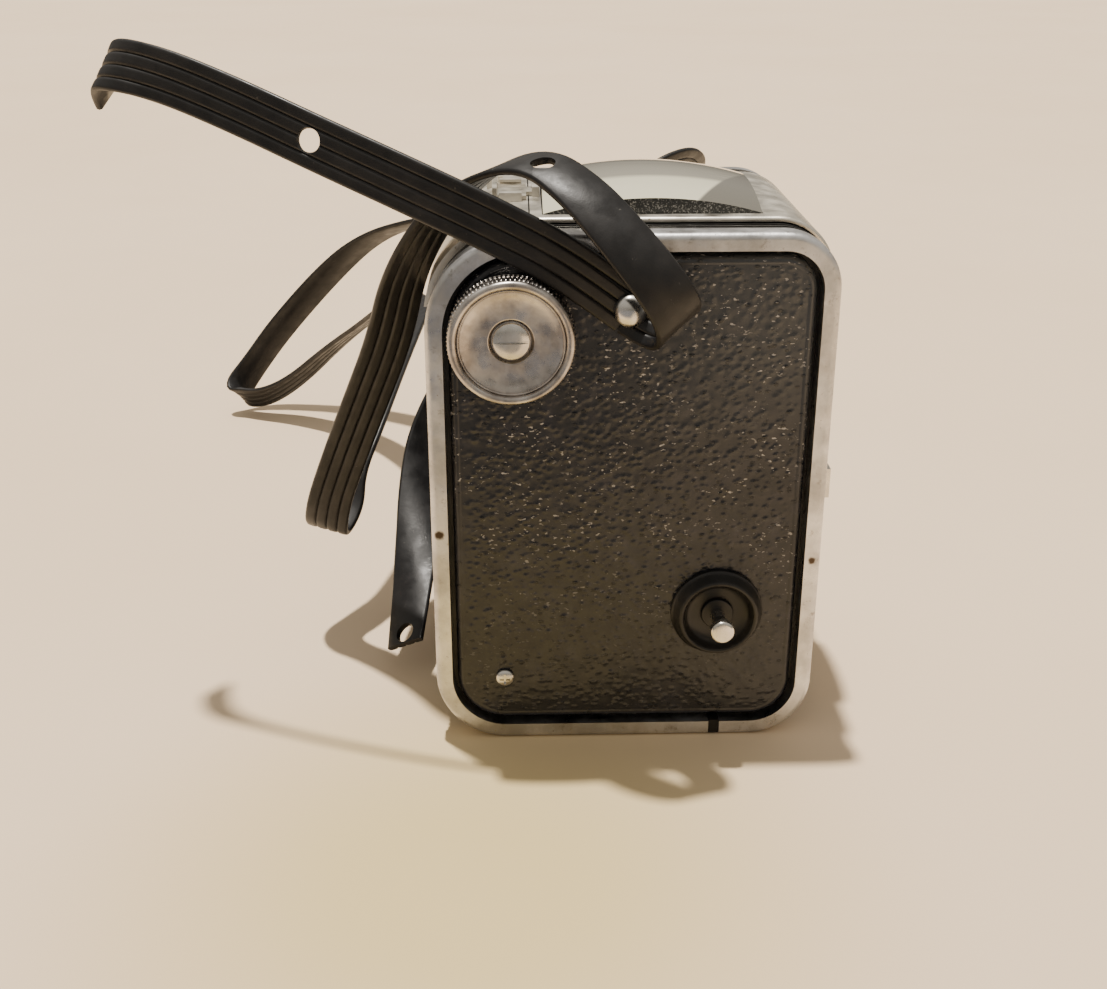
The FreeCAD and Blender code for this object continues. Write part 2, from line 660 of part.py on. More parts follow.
def spool_pins():
    """Fixed pins on the side walls that the spools turn on."""
    pins = []
    for i, (z, sign) in enumerate(((D["takeup_z"], 1), (D["supply_z"], 1), (D["supply_z"], -1))):
        pins.append(cylinder("spool_pin_%d" % i, D["pin_radius"], 4.0,
                             (D["spool_x"], (D["inner_width"] / 2) * sign, z),
                             "-y" if sign > 0 else "y"))
    return piece("spool_pins", group("spool_pins_all", pins))


def pressure_plate():
    """Flat plate that holds the film against the gate."""
    return piece("pressure_plate",
                 middle_box("pressure_plate_sheet", (D["plate_sheet"], D["plate_size"], D["plate_size"]),
                            (D["gate_x"] - 0.4 - D["plate_sheet"] / 2, 0.0, D["axis_z"])))


def plate_springs():
    """Two bowed leaf springs behind the pressure plate, fixed to the back."""
    face = -(D["depth"] / 2) + D["back_inset"] + D["back_sheet"]
    springs = []
    for side, sign in SIDES.items():
        foot = middle_box("spring_foot_" + side, (0.4, D["spring_width"], 8.0),
                          (face + 0.2, D["spring_y"] * sign, D["axis_z"] - 16))
        blade = middle_box("spring_blade_" + side, (0.4, D["spring_width"], D["spring_length"]),
                           (face + 0.6 - TINY, D["spring_y"] * sign, D["axis_z"] - 5))
        springs.append(fuse("spring_" + side, [foot, blade]))
    return piece("plate_springs", group("plate_springs_all", springs))


# ---------------------------------------------------------------- winding knob

def winding_shaft():
    """Shaft with a flat key on its inner end that drives the take-up spool."""
    inner = D["spool_length"] / 2 + 0.3
    rod = cylinder("shaft_rod", D["shaft_radius"], D["knob_base"] + 3 - inner,
                   (D["spool_x"], -inner, D["takeup_z"]), "-y")
    key = middle_box("shaft_key", (4.8, D["key_length"], D["key_width"]),
                     (D["spool_x"], -inner + D["key_length"] / 2 - TINY, D["takeup_z"]))
    return piece("winding_shaft", fuse("shaft_all", [rod, key]))


def shaft_bush():
    """Sleeve that slides through the side wall with the shaft turning in it."""
    length = D["knob_base"] - 0.3 - D["inner_width"] / 2 - 0.2
    start = -(D["inner_width"] / 2) - 0.2
    sleeve = cylinder("bush_sleeve", D["bush_radius"], length, (D["spool_x"], start, D["takeup_z"]), "-y")
    bore = cylinder("bush_bore", D["shaft_radius"] + RUNNING, 20.0,
                    (D["spool_x"], start + 4, D["takeup_z"]), "-y")
    return piece("shaft_bush", cut("bush_cut", sleeve, [bore]))


def winding_knob():
    """Dished knob with a raised rim, an inner ring, a knurled edge and a deep middle."""
    rim = D["knob_radius"]
    tall = D["knob_height"]
    profile = [(D["shaft_radius"], 0.6), (4.6, 0.6), (4.6, 0.0), (rim - 0.9, 0.0),
               (rim, 0.8), (rim, tall - 1.4), (rim - 0.5, tall - 0.4), (rim - 1.2, tall),
               (rim - 2.0, tall - 0.5), (rim - 2.3, tall - 1.2), (rim - 2.8, tall - 0.9),
               (rim - 3.6, tall - 1.4), (5.0, tall - 1.8), (4.5, tall - 3.0),
               (D["shaft_radius"], tall - 3.0)]
    body = turned("knob_turned", profile, (D["spool_x"], -(D["knob_base"]), D["takeup_z"]), "-y")
    notches = []
    for i in range(KNURL_COUNT):
        angle = 2 * math.pi * i / KNURL_COUNT
        notches.append(cylinder("knob_notch_%02d" % i, KNURL_RADIUS, tall - 2.4,
                                (D["spool_x"] + (rim + 0.12) * math.cos(angle),
                                 -(D["knob_base"]) - 1.0,
                                 D["takeup_z"] + (rim + 0.12) * math.sin(angle)), "-y"))
    return piece("winding_knob", cut("knob_cut", body, notches))


def knob_screw():
    """Domed slotted screw in the middle of the knob."""
    base = D["knob_base"] + D["knob_height"] - 3.0
    profile = [(0.0, 0.0), (3.8, 0.0), (3.8, 0.6), (3.0, 1.3), (1.6, 1.7), (0.0, 1.8)]
    head = turned("knob_screw_head", profile, (D["spool_x"], -base, D["takeup_z"]), "-y")
    slot = middle_box("knob_screw_slot", (9.0, 0.9, 0.8), (D["spool_x"], -base - 1.7, D["takeup_z"]))
    return piece("knob_screw", cut("knob_screw_cut", head, [slot]))


# ---------------------------------------------------------------- finder

def finder_lens():
    """Thick square lens with a domed top, held by a flange under the cover."""
    base = D["height"] - D["shell_inset"] - D["wall"] - 1.2
    size = D["finder_size"]
    flange = middle_box("finder_flange", (size + 3, size + 3, 1.2),
                        (D["finder_x"], 0.0, base + 0.6))
    block = box("finder_block", (size, size, 20.0),
                (D["finder_x"] - size / 2, -(size / 2), base + 1.2 - TINY))
    ball = doc.addObject("Part::Sphere", "finder_ball")
    bind(ball, "Radius", D["dome_radius"])
    place(ball, (D["finder_x"], 0.0, D["height"] + D["cover_proud"] + D["dome_rise"] - D["dome_radius"]))
    dome = common("finder_dome", block, ball)
    return piece("finder_lens", fuse("finder_lens_all", [flange, dome]))


def finder_mirror():
    """Plane mirror at 45 degrees under the finder lens."""
    turn = FreeCAD.Rotation(FreeCAD.Vector(0, 1, 0), MIRROR_TILT)
    low_x, low_z = D["finder_x"] - D["mirror_shift"], D["finder_z"] + 17.0
    glass = box("mirror_glass", (D["mirror_length"], D["mirror_width"], D["mirror_sheet"]),
                (low_x, -(D["mirror_width"] / 2), low_z), turn)
    return piece("finder_mirror", glass)


def mirror_carrier():
    """Sheet-metal carrier under the mirror, with a tab at each side."""
    turn = FreeCAD.Rotation(FreeCAD.Vector(0, 1, 0), MIRROR_TILT)
    drop = 1.0 / math.sqrt(2.0)
    low_x, low_z = D["finder_x"] - D["mirror_shift"] - drop, D["finder_z"] + 17.0 - drop
    sheet = box("carrier_sheet", (D["mirror_length"], D["inner_width"] - 1, 1.0),
                (low_x, -((D["inner_width"] - 1) / 2), low_z), turn)
    return piece("mirror_carrier", sheet)


def finder_front():
    """Small lens and its bright ring on the front of the finder."""
    front = D["depth"] / 2 + D["cover_proud"]
    ring = D["finder_ring_radius"]
    profile = [(ring - 2.5, -4.0), (ring - 2.1, -4.0), (ring - 2.1, 0.1), (ring, 0.1),
               (ring, 1.6), (ring - 0.8, 2.6), (ring - 1.8, 2.8), (ring - 2.5, 2.2)]
    piece("finder_ring", turned("finder_ring_turned", profile, (front, 0.0, D["finder_z"]), "x"))
    lens = [(0.0, -2.4), (ring - 2.6, -2.4), (ring - 2.6, -0.2), (ring - 6.0, 0.9), (0.0, 1.6)]
    piece("finder_front_lens", turned("finder_front_turned", lens, (front, 0.0, D["finder_z"]), "x"))


# ---------------------------------------------------------------- taking lens and shutter

def lens_mount():
    """Barrel with its bright front ring and the taking lens."""
    back = D["depth"] / 2 + D["cover_proud"]
    tall = D["barrel_front"] - back
    rim = D["barrel_radius"]
    profile = [(8.6, -6.0), (rim - 2.1, -6.0), (rim - 2.1, 0.1), (rim, 0.1), (rim, tall - 2.2),
               (rim - 1.0, tall - 1.0), (rim - 2.6, tall - 1.0), (rim - 4.6, tall - 3.0),
               (8.6, tall - 4.4)]
    piece("lens_barrel", turned("barrel_turned", profile, (back, 0.0, D["axis_z"]), "x"))
    ring = [(rim - 2.6, tall - 1.0), (rim - 1.0, tall - 1.0), (rim - 1.2, tall - 0.2),
            (rim - 2.0, tall), (rim - 2.6, tall - 0.3)]
    piece("barrel_ring", turned("barrel_ring_turned", ring, (back, 0.0, D["axis_z"]), "x"))
    lens = [(0.0, -3.6), (D["lens_radius"] - 2, -3.1), (D["lens_radius"] + 0.5, -2.4),
            (D["lens_radius"] + 0.5, -0.6), (D["lens_radius"] - 2.5, 0.7), (0.0, 1.3)]
    piece("taking_lens", turned("taking_lens_turned", lens, (back, 0.0, D["axis_z"]), "x"))


def shutter_plate():
    """Plate across the front of the cone that carries the shutter."""
    plate = middle_box("shutter_sheet", (1.0, D["shutter_width"], D["shutter_height"]),
                       (D["shutter_x"], 0.0, D["axis_z"] - 3))
    hole = cylinder("aperture_hole", D["aperture_radius"], 6.0, (D["shutter_x"] - 3, 0.0, D["axis_z"]), "x")
    pivot = cylinder("blade_pivot", D["pivot_radius"], 3.2,
                     (D["shutter_x"], 0.0, D["axis_z"] - D["blade_drop"]), "x")
    return piece("shutter_plate", fuse("shutter_plate_all", [cut("shutter_plate_cut", plate, [hole]), pivot]))


def shutter_blade():
    """Disc with one round hole, which turns past the aperture."""
    x = D["shutter_x"] + 0.9
    z = D["axis_z"] - D["blade_drop"]
    disc = cylinder("blade_disc", D["blade_radius"] + 3.0, D["blade_sheet"], (x, 0.0, z), "x")
    bore = cylinder("blade_bore", D["pivot_radius"] + RUNNING, 4.0, (x - 2, 0.0, z), "x")
    side = math.sin(math.radians(45.0))
    hole = cylinder("blade_hole", D["aperture_radius"] + 0.4, 4.0,
                    (x - 2, D["blade_drop"] * side, z + D["blade_drop"] * side), "x")
    return piece("shutter_blade", cut("blade_cut", disc, [bore, hole]))


def release_lever():
    """Thumb piece beside the lens, on a stem through its slot, with an arm inside."""
    front = D["depth"] / 2 + D["cover_proud"]
    y = -(D["release_y"])
    z = D["axis_z"]
    pad_block = middle_box("release_pad", (2.8, D["release_pad"], D["release_tall"]), (front + 1.9, y, z))
    stem = middle_box("release_stem", (12.8, 2.4, 3.0), (front - 4.0, y, z))
    arm = middle_box("release_arm", (1.4, 8.0, 3.0), (front - 9.9, y + 2.8, z))
    return piece("release_lever", fuse("release_all", [pad_block, stem, arm]))


def release_spring():
    """Coil spring that lifts the release lever, drawn as its sleeve."""
    front = D["depth"] / 2 + D["cover_proud"]
    outer = cylinder("spring_outer", 1.5, 9.0, (front - 7.6, -(D["release_y"]), D["axis_z"] - 16.0))
    inner = cylinder("spring_inner", 1.0, 11.0, (front - 7.6, -(D["release_y"]), D["axis_z"] - 17.0))
    return piece("release_spring", cut("release_spring_cut", outer, [inner]))


def time_lever():
    """Small tab above the lens for instant or long exposures."""
    front = D["depth"] / 2 + D["cover_proud"]
    tab = middle_box("time_tab", (2.6, D["time_tab"], 1.9), (front + 1.5, 0.0, D["time_z"]))
    stem = middle_box("time_stem", (8.0, 2.0, 1.2), (front - 3.4, 0.0, D["time_z"]))
    slider = middle_box("time_slider", (1.0, 9.0, 2.0), (front - 7.2, 0.0, D["time_z"]))
    return piece("time_lever", fuse("time_all", [tab, stem, slider]))


# ---------------------------------------------------------------- fittings

def dome(radius, rise, base, steps=6):
    """Profile points of a dome, from its rim to its top, above a base level."""
    points = []
    for i in range(steps + 1):
        angle = math.radians(90.0 * i / steps)
        points.append((radius * math.cos(angle) if i < steps else 0.0,
                       base + rise * math.sin(angle)))
    return points


def strap_studs():
    """A domed stud on each side; the strap's holes button over them."""
    foot = D["inner_width"] / 2 - 1.2
    head = PANEL_FACE + D["strap_sheet"] + 0.3 - foot
    profile = [(0.0, 0.0), (STUD_NECK, 0.0), (STUD_NECK, head), (D["stud_radius"], head)]
    profile += dome(D["stud_radius"], D["stud_rise"], head + 0.4)
    for side, sign in SIDES.items():
        piece(side + "_strap_stud",
              turned(side + "_stud_turned", profile, (D["stud_x"], foot * sign, D["stud_z"]),
                     "-y" if sign < 0 else "y"))


def side_screws():
    """Cross-headed screw near the lower rear corner of each side."""
    face = PANEL_FACE
    solids = []
    for side, sign in SIDES.items():
        profile = [(0.0, -5.0), (1.25, -5.0), (1.25, 0.0), (D["screw_radius"], 0.0),
                   (D["screw_radius"] - 0.2, 0.6), (D["screw_radius"] - 0.9, 1.0), (0.0, 1.15)]
        head = turned("screw_turned_" + side, profile, (D["screw_x"], face * sign, D["screw_z"]),
                      "-y" if sign < 0 else "y")
        tip = (face + 1.0) * sign
        bars = [middle_box("screw_bar_a_" + side, (2.6, 1.4, 0.5), (D["screw_x"], tip, D["screw_z"])),
                middle_box("screw_bar_b_" + side, (0.5, 1.4, 2.6), (D["screw_x"], tip, D["screw_z"]))]
        solids.append(cut("screw_cut_" + side, head, bars))
    return piece("side_screws", group("side_screws_all", solids))


def flash_contact():
    """Black dished ring on the right side with a bright pin in the middle."""
    rim = D["contact_radius"]
    tall = D["pin_proud"]
    neck = D["pin_radius"]
    place_of = (D["contact_x"], -PANEL_FACE, D["contact_z"])
    ring = [(neck, 0.0), (rim, 0.0), (rim, 0.6), (rim - 0.4, 1.1), (rim - 1.4, 3.5),
            (rim - 1.8, 4.0), (rim - 2.3, 3.9), (rim - 3.2, 1.8), (rim - 4.2, 1.1),
            (3.6, 0.9), (3.1, 1.9), (neck, 1.9)]
    piece("contact_ring", turned("contact_ring_turned", ring, place_of, "-y"))
    head = D["pin_head"]
    pin = [(0.0, -6.0), (neck, -6.0), (neck, tall - 2.8), (neck + 0.5, tall - 2.6),
           (head, tall - 1.8), (head, tall - 0.8), (head - 0.7, tall - 0.2), (0.0, tall)]
    piece("contact_pin", turned("contact_pin_turned", pin, place_of, "-y"))


def tripod_bush():
    """Threaded bush in the base, for a 1/4 inch tripod screw."""
    body, flange = D["tripod_body"] - RUNNING, D["tripod_flange"]
    profile = [(D["tripod_radius"], 0.0), (body, 0.0), (body, 2.2), (flange, 2.2),
               (flange, D["tripod_length"]), (D["tripod_radius"], D["tripod_length"])]
    return piece("tripod_bush", turned("tripod_turned", profile, (0.0, 0.0, 0.3), "z"))


# ---------------------------------------------------------------- strap

# Each route is a list of points chosen by hand, with the direction of the
# strap's width at each: (x, y, z), (width x, y, z).
STRAP_LOOP = [
    ((-0.5, -39.2, 102.5), (0.5, 0.0, 0.87)),
    ((3.6, -40.6, 100.2), (0.5, 0.2, 0.85)),
    ((8.0, -44.3, 99.3), (0.65, 0.55, 0.55)),
    ((8.6, -50.0, 103.8), (0.85, 0.25, 0.43)),
    ((3.8, -51.0, 111.3), (0.75, 0.35, 0.52)),
    ((-3.6, -48.0, 120.0), (0.75, 0.5, 0.45)),
    ((-10.8, -42.5, 127.3), (0.75, 0.57, 0.3)),
    ((-19.3, -33.5, 132.0), (0.65, 0.73, 0.23)),
    ((-30.0, -26.0, 128.3), (0.5, 0.87, 0.05)),
    ((-40.0, -21.0, 119.0), (0.68, 0.7, -0.2)),
    ((-48.5, -15.0, 104.6), (0.82, 0.55, -0.12)),
    ((-53.0, -7.0, 87.2), (0.93, 0.33, -0.16)),
    ((-60.0, 0.5, 69.8), (0.92, 0.27, -0.26)),
    ((-66.8, 6.5, 53.0), (0.93, 0.22, -0.3)),
    ((-72.3, 9.5, 38.5), (0.93, 0.2, -0.2)),
    ((-74.0, 15.0, 28.0), (0.93, -0.3, -0.2)),
    ((-69.5, 23.0, 32.5), (0.87, -0.48, 0.0)),
    ((-68.3, 27.5, 40.0), (0.75, -0.6, 0.3)),
    ((-64.5, 36.0, 47.5), (0.8, -0.42, 0.43)),
    ((-61.0, 54.0, 54.5), (0.84, -0.28, 0.47)),
    ((-57.5, 78.0, 60.0), (0.85, -0.18, 0.5)),
    ((-55.5, 105.0, 63.5), (0.97, 0.05, 0.25)),
    ((-60.5, 131.0, 61.0), (0.92, 0.38, 0.15)),
    ((-74.0, 156.0, 46.5), (0.7, 0.67, 0.2)),
    ((-89.5, 172.0, 32.0), (0.64, 0.77, 0.0)),
    ((-107.0, 182.0, 14.5), (0.57, 0.75, -0.33)),
    ((-121.0, 185.5, 6.5), (0.4, 0.55, -0.7)),
    ((-132.0, 190.0, 7.0), (0.65, 0.1, -0.75)),
    ((-124.5, 197.0, 16.5), (0.6, 0.5, -0.63)),
    ((-112.5, 199.0, 32.0), (0.65, 0.45, -0.6)),
    ((-91.5, 197.0, 54.5), (0.65, 0.52, -0.55)),
    ((-76.0, 190.0, 67.5), (0.6, 0.73, -0.3)),
    ((-59.0, 179.0, 75.0), (0.55, 0.82, -0.2)),
    ((-40.0, 168.5, 78.0), (0.45, 0.65, -0.6)),
    ((-20.0, 157.0, 80.5), (0.25, 0.3, -0.92)),
    ((1.0, 134.0, 84.5), (0.1, 0.1, -1.0)),
    ((17.0, 110.0, 90.0), (0.0, 0.1, -1.0)),
    ((24.5, 90.0, 98.0), (-0.2, -0.2, -0.95)),
    ((26.0, 74.0, 108.0), (-0.6, -0.35, -0.72)),
    ((21.5, 62.0, 115.5), (-0.4, 0.5, -0.75)),
    ((13.5, 52.0, 112.5), (0.3, 0.3, -0.9)),
    ((6.0, 43.0, 106.5), (0.65, 0.1, -0.75)),
    ((-0.5, 39.2, 102.5), (0.6, 0.0, -0.78)),
]
STRAP_NEAR_TAIL = [
    ((-0.5, -39.2, 102.5), (-0.5, 0.0, -0.87)),
    ((-12.0, -41.0, 111.6), (-0.45, 0.0, -0.89)),
    ((-27.0, -41.0, 119.6), (-0.46, 0.0, -0.88)),
    ((-44.0, -37.5, 127.0), (-0.45, 0.0, -0.89)),
    ((-63.0, -31.0, 134.5), (-0.42, 0.0, -0.9)),
    ((-82.0, -23.5, 142.0), (-0.4, 0.0, -0.91)),
    ((-97.5, -16.5, 147.0), (-0.38, 0.0, -0.92)),
    ((-109.0, -10.5, 148.5), (-0.42, -0.2, -0.88)),
    ((-112.0, -3.5, 145.5), (-0.42, -0.45, -0.8)),
    ((-111.8, 0.5, 141.5), (-0.42, -0.6, -0.68)),
]
STRAP_FAR_TAIL = [
    ((-0.5, 39.2, 102.5), (-0.6, 0.0, 0.78)),
    ((-10.0, 41.5, 94.5), (-0.63, 0.0, 0.76)),
    ((-21.0, 44.0, 84.5), (-0.7, 0.0, 0.7)),
    ((-32.0, 46.5, 72.5), (-0.75, -0.2, 0.62)),
    ((-42.0, 46.5, 59.0), (-0.75, -0.45, 0.45)),
    ((-49.0, 39.5, 46.5), (-0.75, -0.6, 0.25)),
    ((-50.5, 27.5, 35.0), (-0.85, -0.35, 0.1)),
    ((-50.5, 14.5, 25.0), (-0.9, -0.1, -0.1)),
    ((-51.5, 2.0, 16.0), (-0.8, 0.2, -0.35)),
    ((-52.5, -9.5, 8.8), (-0.77, 0.35, -0.45)),
]
ARC_SHARE = 0.45        # share of the shorter run that an arc takes at each end
ARC_STEPS = 4


def rounded_route(points):
    """Straight runs joined by tangent arcs: the stations and the arc radii."""
    spots = [FreeCAD.Vector(*p) for p in points]
    stations = [(spots[0], (spots[1] - spots[0]).normalize(), 0.0)]
    radii = []
    for i in range(1, len(spots) - 1):
        into = spots[i] - spots[i - 1]
        out = spots[i + 1] - spots[i]
        trim = ARC_SHARE * min(into.Length, out.Length)
        turn = into.getAngle(out)
        radius = trim / math.tan(turn / 2)
        radii.append(radius)
        heading, leaving = FreeCAD.Vector(into).normalize(), FreeCAD.Vector(out).normalize()
        start = spots[i] - heading * trim
        inward = (leaving - heading * heading.dot(leaving)).normalize()
        centre = start + inward * radius
        for step in range(ARC_STEPS + 1):
            angle = turn * step / ARC_STEPS
            spot = centre - inward * (radius * math.cos(angle)) + heading * (radius * math.sin(angle))
            along = heading * math.cos(angle) + inward * math.sin(angle)
            stations.append((spot, along, i - 0.4 + 0.8 * step / ARC_STEPS))
    stations.append((spots[-1], (spots[-1] - spots[-2]).normalize(), len(spots) - 1.0))
    return stations, radii


def strap_piece(name, route):
    """A flat strap along its route, as one closed solid with flat facets."""
    width, sheet = value_of(D["strap_width"]), value_of(D["strap_sheet"])
    stations, radii = rounded_route([point for point, across in route])
    print(name, "arc radii", " ".join("%.0f" % r for r in radii))
    rings = []
    length = 0.0
    for number, (spot, along, mark) in enumerate(stations):
        low = min(int(mark), len(route) - 2) if mark > 0 else 0
        share = min(max(mark - low, 0.0), 1.0)
        across = (FreeCAD.Vector(*route[low][1]) * (1 - share)
                  + FreeCAD.Vector(*route[low + 1][1]) * share)
        across = (across - along * across.dot(along)).normalize()
        flat = along.cross(across)
        w, h = across * (width / 2), flat * (sheet / 2)
        rings.append([spot + w + h, spot - w + h, spot - w - h, spot + w - h])
        if number:
            length += (spot - stations[number - 1][0]).Length
    faces = []
    for first, second in zip(rings, rings[1:]):
        for k in range(4):
            a, b = first[k], first[(k + 1) % 4]
            c, d = second[(k + 1) % 4], second[k]
            faces.append(triangle(a, b, c))
            faces.append(triangle(a, c, d))
    for ring in (rings[0], rings[-1]):
        faces.append(triangle(ring[0], ring[1], ring[2]))
        faces.append(triangle(ring[0], ring[2], ring[3]))
    solid = Part.makeSolid(Part.makeShell(faces))
    if solid.Volume < 0:
        solid.reverse()
    print("%s length %.1f volume ratio %.3f" % (name, length, solid.Volume / (width * sheet * length)))
    obj = doc.addObject("Part::Feature", name + "_solid")
    obj.Shape = solid
    obj.Placement = FreeCAD.Placement()
    return piece(name, obj)


def triangle(a, b, c):
    return Part.Face(Part.makePolygon([a, b, c, a]))


# ---------------------------------------------------------------- make and write

def make_all():
    for side in SIDES:
        trim_band(side)
        side_panel(side)
        side_wall(side)
    for make in (body_shell, front_cover, back_cover, rear_deck, back_panel, back_latch,
                 latch_guides, latch_keeper, red_window, image_cone, film_rollers):
        make()
    spool("takeup_spool", D["takeup_z"])
    spool("supply_spool", D["supply_z"])
    for make in (spool_pins, pressure_plate, plate_springs, winding_shaft, shaft_bush,
                 winding_knob, knob_screw, finder_lens, finder_mirror, mirror_carrier,
                 finder_front, lens_mount, shutter_plate, shutter_blade, release_lever,
                 release_spring, time_lever, strap_studs, side_screws, flash_contact, tripod_bush):
        make()
    strap_piece("strap_loop", STRAP_LOOP)
    strap_piece("strap_near_tail", STRAP_NEAR_TAIL)
    strap_piece("strap_far_tail", STRAP_FAR_TAIL)


def write_all():
    """Check every object, then write each sub-part to a file of its own."""
    doc.recompute()
    for obj in doc.Objects:
        if "Invalid" in obj.State or "Error" in obj.State:
            raise RuntimeError("%s failed: %s" % (obj.Name, obj.State))
    for obj in ALL_PIECES:
        if obj.Shape.isNull() or not obj.Shape.isValid() or not obj.Shape.Solids:
            raise RuntimeError("%s has no valid solid" % obj.Label)
    os.makedirs("parts", exist_ok=True)
    for obj in ALL_PIECES:
        obj.Shape.exportStep("parts/%s.step" % obj.Label)
        print("%-20s solids %d volume %.1f" % (obj.Label, len(obj.Shape.Solids), obj.Shape.Volume))


make_all()
write_all()
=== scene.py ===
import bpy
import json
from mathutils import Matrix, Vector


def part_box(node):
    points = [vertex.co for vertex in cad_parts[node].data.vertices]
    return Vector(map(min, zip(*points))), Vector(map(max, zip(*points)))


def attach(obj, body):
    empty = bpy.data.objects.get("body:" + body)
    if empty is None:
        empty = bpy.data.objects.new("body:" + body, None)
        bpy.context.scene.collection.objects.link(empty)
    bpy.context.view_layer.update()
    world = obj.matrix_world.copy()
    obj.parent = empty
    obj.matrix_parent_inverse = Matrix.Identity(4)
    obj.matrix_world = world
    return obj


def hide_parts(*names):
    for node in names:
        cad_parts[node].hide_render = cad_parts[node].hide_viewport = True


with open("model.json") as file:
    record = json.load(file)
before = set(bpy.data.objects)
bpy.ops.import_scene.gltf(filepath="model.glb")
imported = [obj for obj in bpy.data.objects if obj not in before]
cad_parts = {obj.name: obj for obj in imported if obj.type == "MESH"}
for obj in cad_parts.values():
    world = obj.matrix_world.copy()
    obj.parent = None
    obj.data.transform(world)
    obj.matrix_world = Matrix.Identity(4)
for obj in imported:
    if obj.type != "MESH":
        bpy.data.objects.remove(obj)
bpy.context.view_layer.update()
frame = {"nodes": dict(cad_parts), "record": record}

import json
import math

import bmesh
import bpy
from mathutils import Vector, noise

# A box camera with its ribbed strap, on a sheet of paper. X runs to the camera's front, Y to its
# left side and Z up. Lengths are in millimetres; MM turns them into Blender's metres.
MM = 0.001
NODES = frame["nodes"]
SIDES = {"right": -1, "left": 1}
CREASE = 32.0             # an edge that turns by more degrees than this stays crisp


def metres(point):
    """A point in millimetres, in metres."""
    return tuple(c * MM for c in point)


def box_of(node):
    """The lowest and the highest corner of a CAD node, in millimetres."""
    low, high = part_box(node)
    return [c / MM for c in low], [c / MM for c in high]


def middle_of(node):
    """The middle of a CAD node's box, in millimetres."""
    low, high = box_of(node)
    return [(a + b) / 2 for a, b in zip(low, high)]


# ---------------------------------------------------------------- camera

VIEW_PLACE = (-23.54, -317.45, 179.32)
VIEW_DOWN = math.radians(22.94)
VIEW_TURN = math.radians(1.49)
VIEW_LENS = 45.53
SENSOR_WIDTH = 36.0


def make_camera():
    """The view is from the object's right side, and down on it."""
    data = bpy.data.cameras.new("camera")
    data.lens = VIEW_LENS
    data.sensor_width = SENSOR_WIDTH
    data.sensor_fit = "HORIZONTAL"
    data.clip_start = 0.01
    camera = bpy.data.objects.new("camera", data)
    camera.location = metres(VIEW_PLACE)
    camera.rotation_euler = (math.pi / 2 - VIEW_DOWN, 0.0, -VIEW_TURN)
    bpy.context.scene.collection.objects.link(camera)
    bpy.context.scene.camera = camera


make_camera()

# ---------------------------------------------------------------- mesh helpers

# Corners of a box, numbered by their signs along X, Y and Z, and its six faces.
BOX_CORNERS = [(x, y, z) for x in (-1, 1) for y in (-1, 1) for z in (-1, 1)]
BOX_FACES = [(0, 1, 3, 2), (4, 6, 7, 5), (0, 4, 5, 1), (2, 3, 7, 6), (0, 2, 6, 4), (1, 5, 7, 3)]


def link(name, mesh, body="camera"):
    """Put a mesh in the scene, riding on a body."""
    piece = bpy.data.objects.new(name, mesh)
    bpy.context.scene.collection.objects.link(piece)
    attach(piece, body)
    return piece


def shade(mesh, crease=CREASE):
    """Smooth shading, with edges sharper than the crease angle kept crisp."""
    mesh.shade_smooth()
    mesh.set_sharp_from_angle(angle=math.radians(crease))


def mesh_from(name, points, faces, crease=CREASE):
    """A mesh from points in millimetres, its faces turned outwards."""
    mesh = bpy.data.meshes.new(name)
    mesh.from_pydata([metres(point) for point in points], [], faces)
    mesh.validate()
    work = bmesh.new()
    work.from_mesh(mesh)
    bmesh.ops.recalc_face_normals(work, faces=work.faces)
    work.to_mesh(mesh)
    work.free()
    shade(mesh, crease)
    return mesh


def belt_faces(first, second):
    """Faces between two closed rings of point numbers."""
    count = len(first)
    return [(first[i], first[(i + 1) % count], second[(i + 1) % count], second[i])
            for i in range(count)]


def rings_mesh(name, rings, crease=CREASE):
    """Skin closed rings of points that all have the same count, with a face over each end."""
    count = len(rings[0])
    points = [point for ring in rings for point in ring]
    numbers = [tuple(range(i * count, (i + 1) * count)) for i in range(len(rings))]
    faces = []
    for low, high in zip(numbers, numbers[1:]):
        faces += belt_faces(low, high)
    faces += [numbers[0], numbers[-1]]
    return mesh_from(name, points, faces, crease)


def grid_faces(rows, columns):
    """Faces of a grid whose points are numbered row by row."""
    faces = []
    for row in range(rows - 1):
        for column in range(columns - 1):
            first = row * columns + column
            faces.append((first, first + 1, first + columns + 1, first + columns))
    return faces


def grid_border(rows, columns):
    """The numbers of a grid's outer points, in order round it."""
    last = (rows - 1) * columns
    first_row = list(range(columns))
    right_side = [row * columns + columns - 1 for row in range(1, rows)]
    last_row = [last + column for column in range(columns - 2, -1, -1)]
    left_side = [row * columns for row in range(rows - 2, 0, -1)]
    return first_row + right_side + last_row + left_side


def cut_by(piece, mesh):
    """Take a mesh away from a piece."""
    cutter = bpy.data.objects.new("cutter", mesh)
    bpy.context.scene.collection.objects.link(cutter)
    cutting = piece.modifiers.new("cut", "BOOLEAN")
    cutting.operation = "DIFFERENCE"
    cutting.object = cutter
    cutting.solver = "EXACT"
    view = bpy.context.evaluated_depsgraph_get()
    result = bpy.data.meshes.new_from_object(piece.evaluated_get(view))
    piece.modifiers.clear()
    piece.data = result
    bpy.data.objects.remove(cutter)


def cut_slot(piece, centre, size):
    """Cut a box-shaped slot with this centre and size."""
    corners = [tuple(c + sign * length / 2 for c, sign, length in zip(centre, signs, size))
               for signs in BOX_CORNERS]
    cut_by(piece, mesh_from("slot", corners, BOX_FACES))


def foot_of(node, sign):
    """Where a turned CAD node starts to stand out from its side of the camera."""
    low, high = box_of(node)
    x, _, z = middle_of(node)
    return x, (low[1] if sign > 0 else high[1]), z


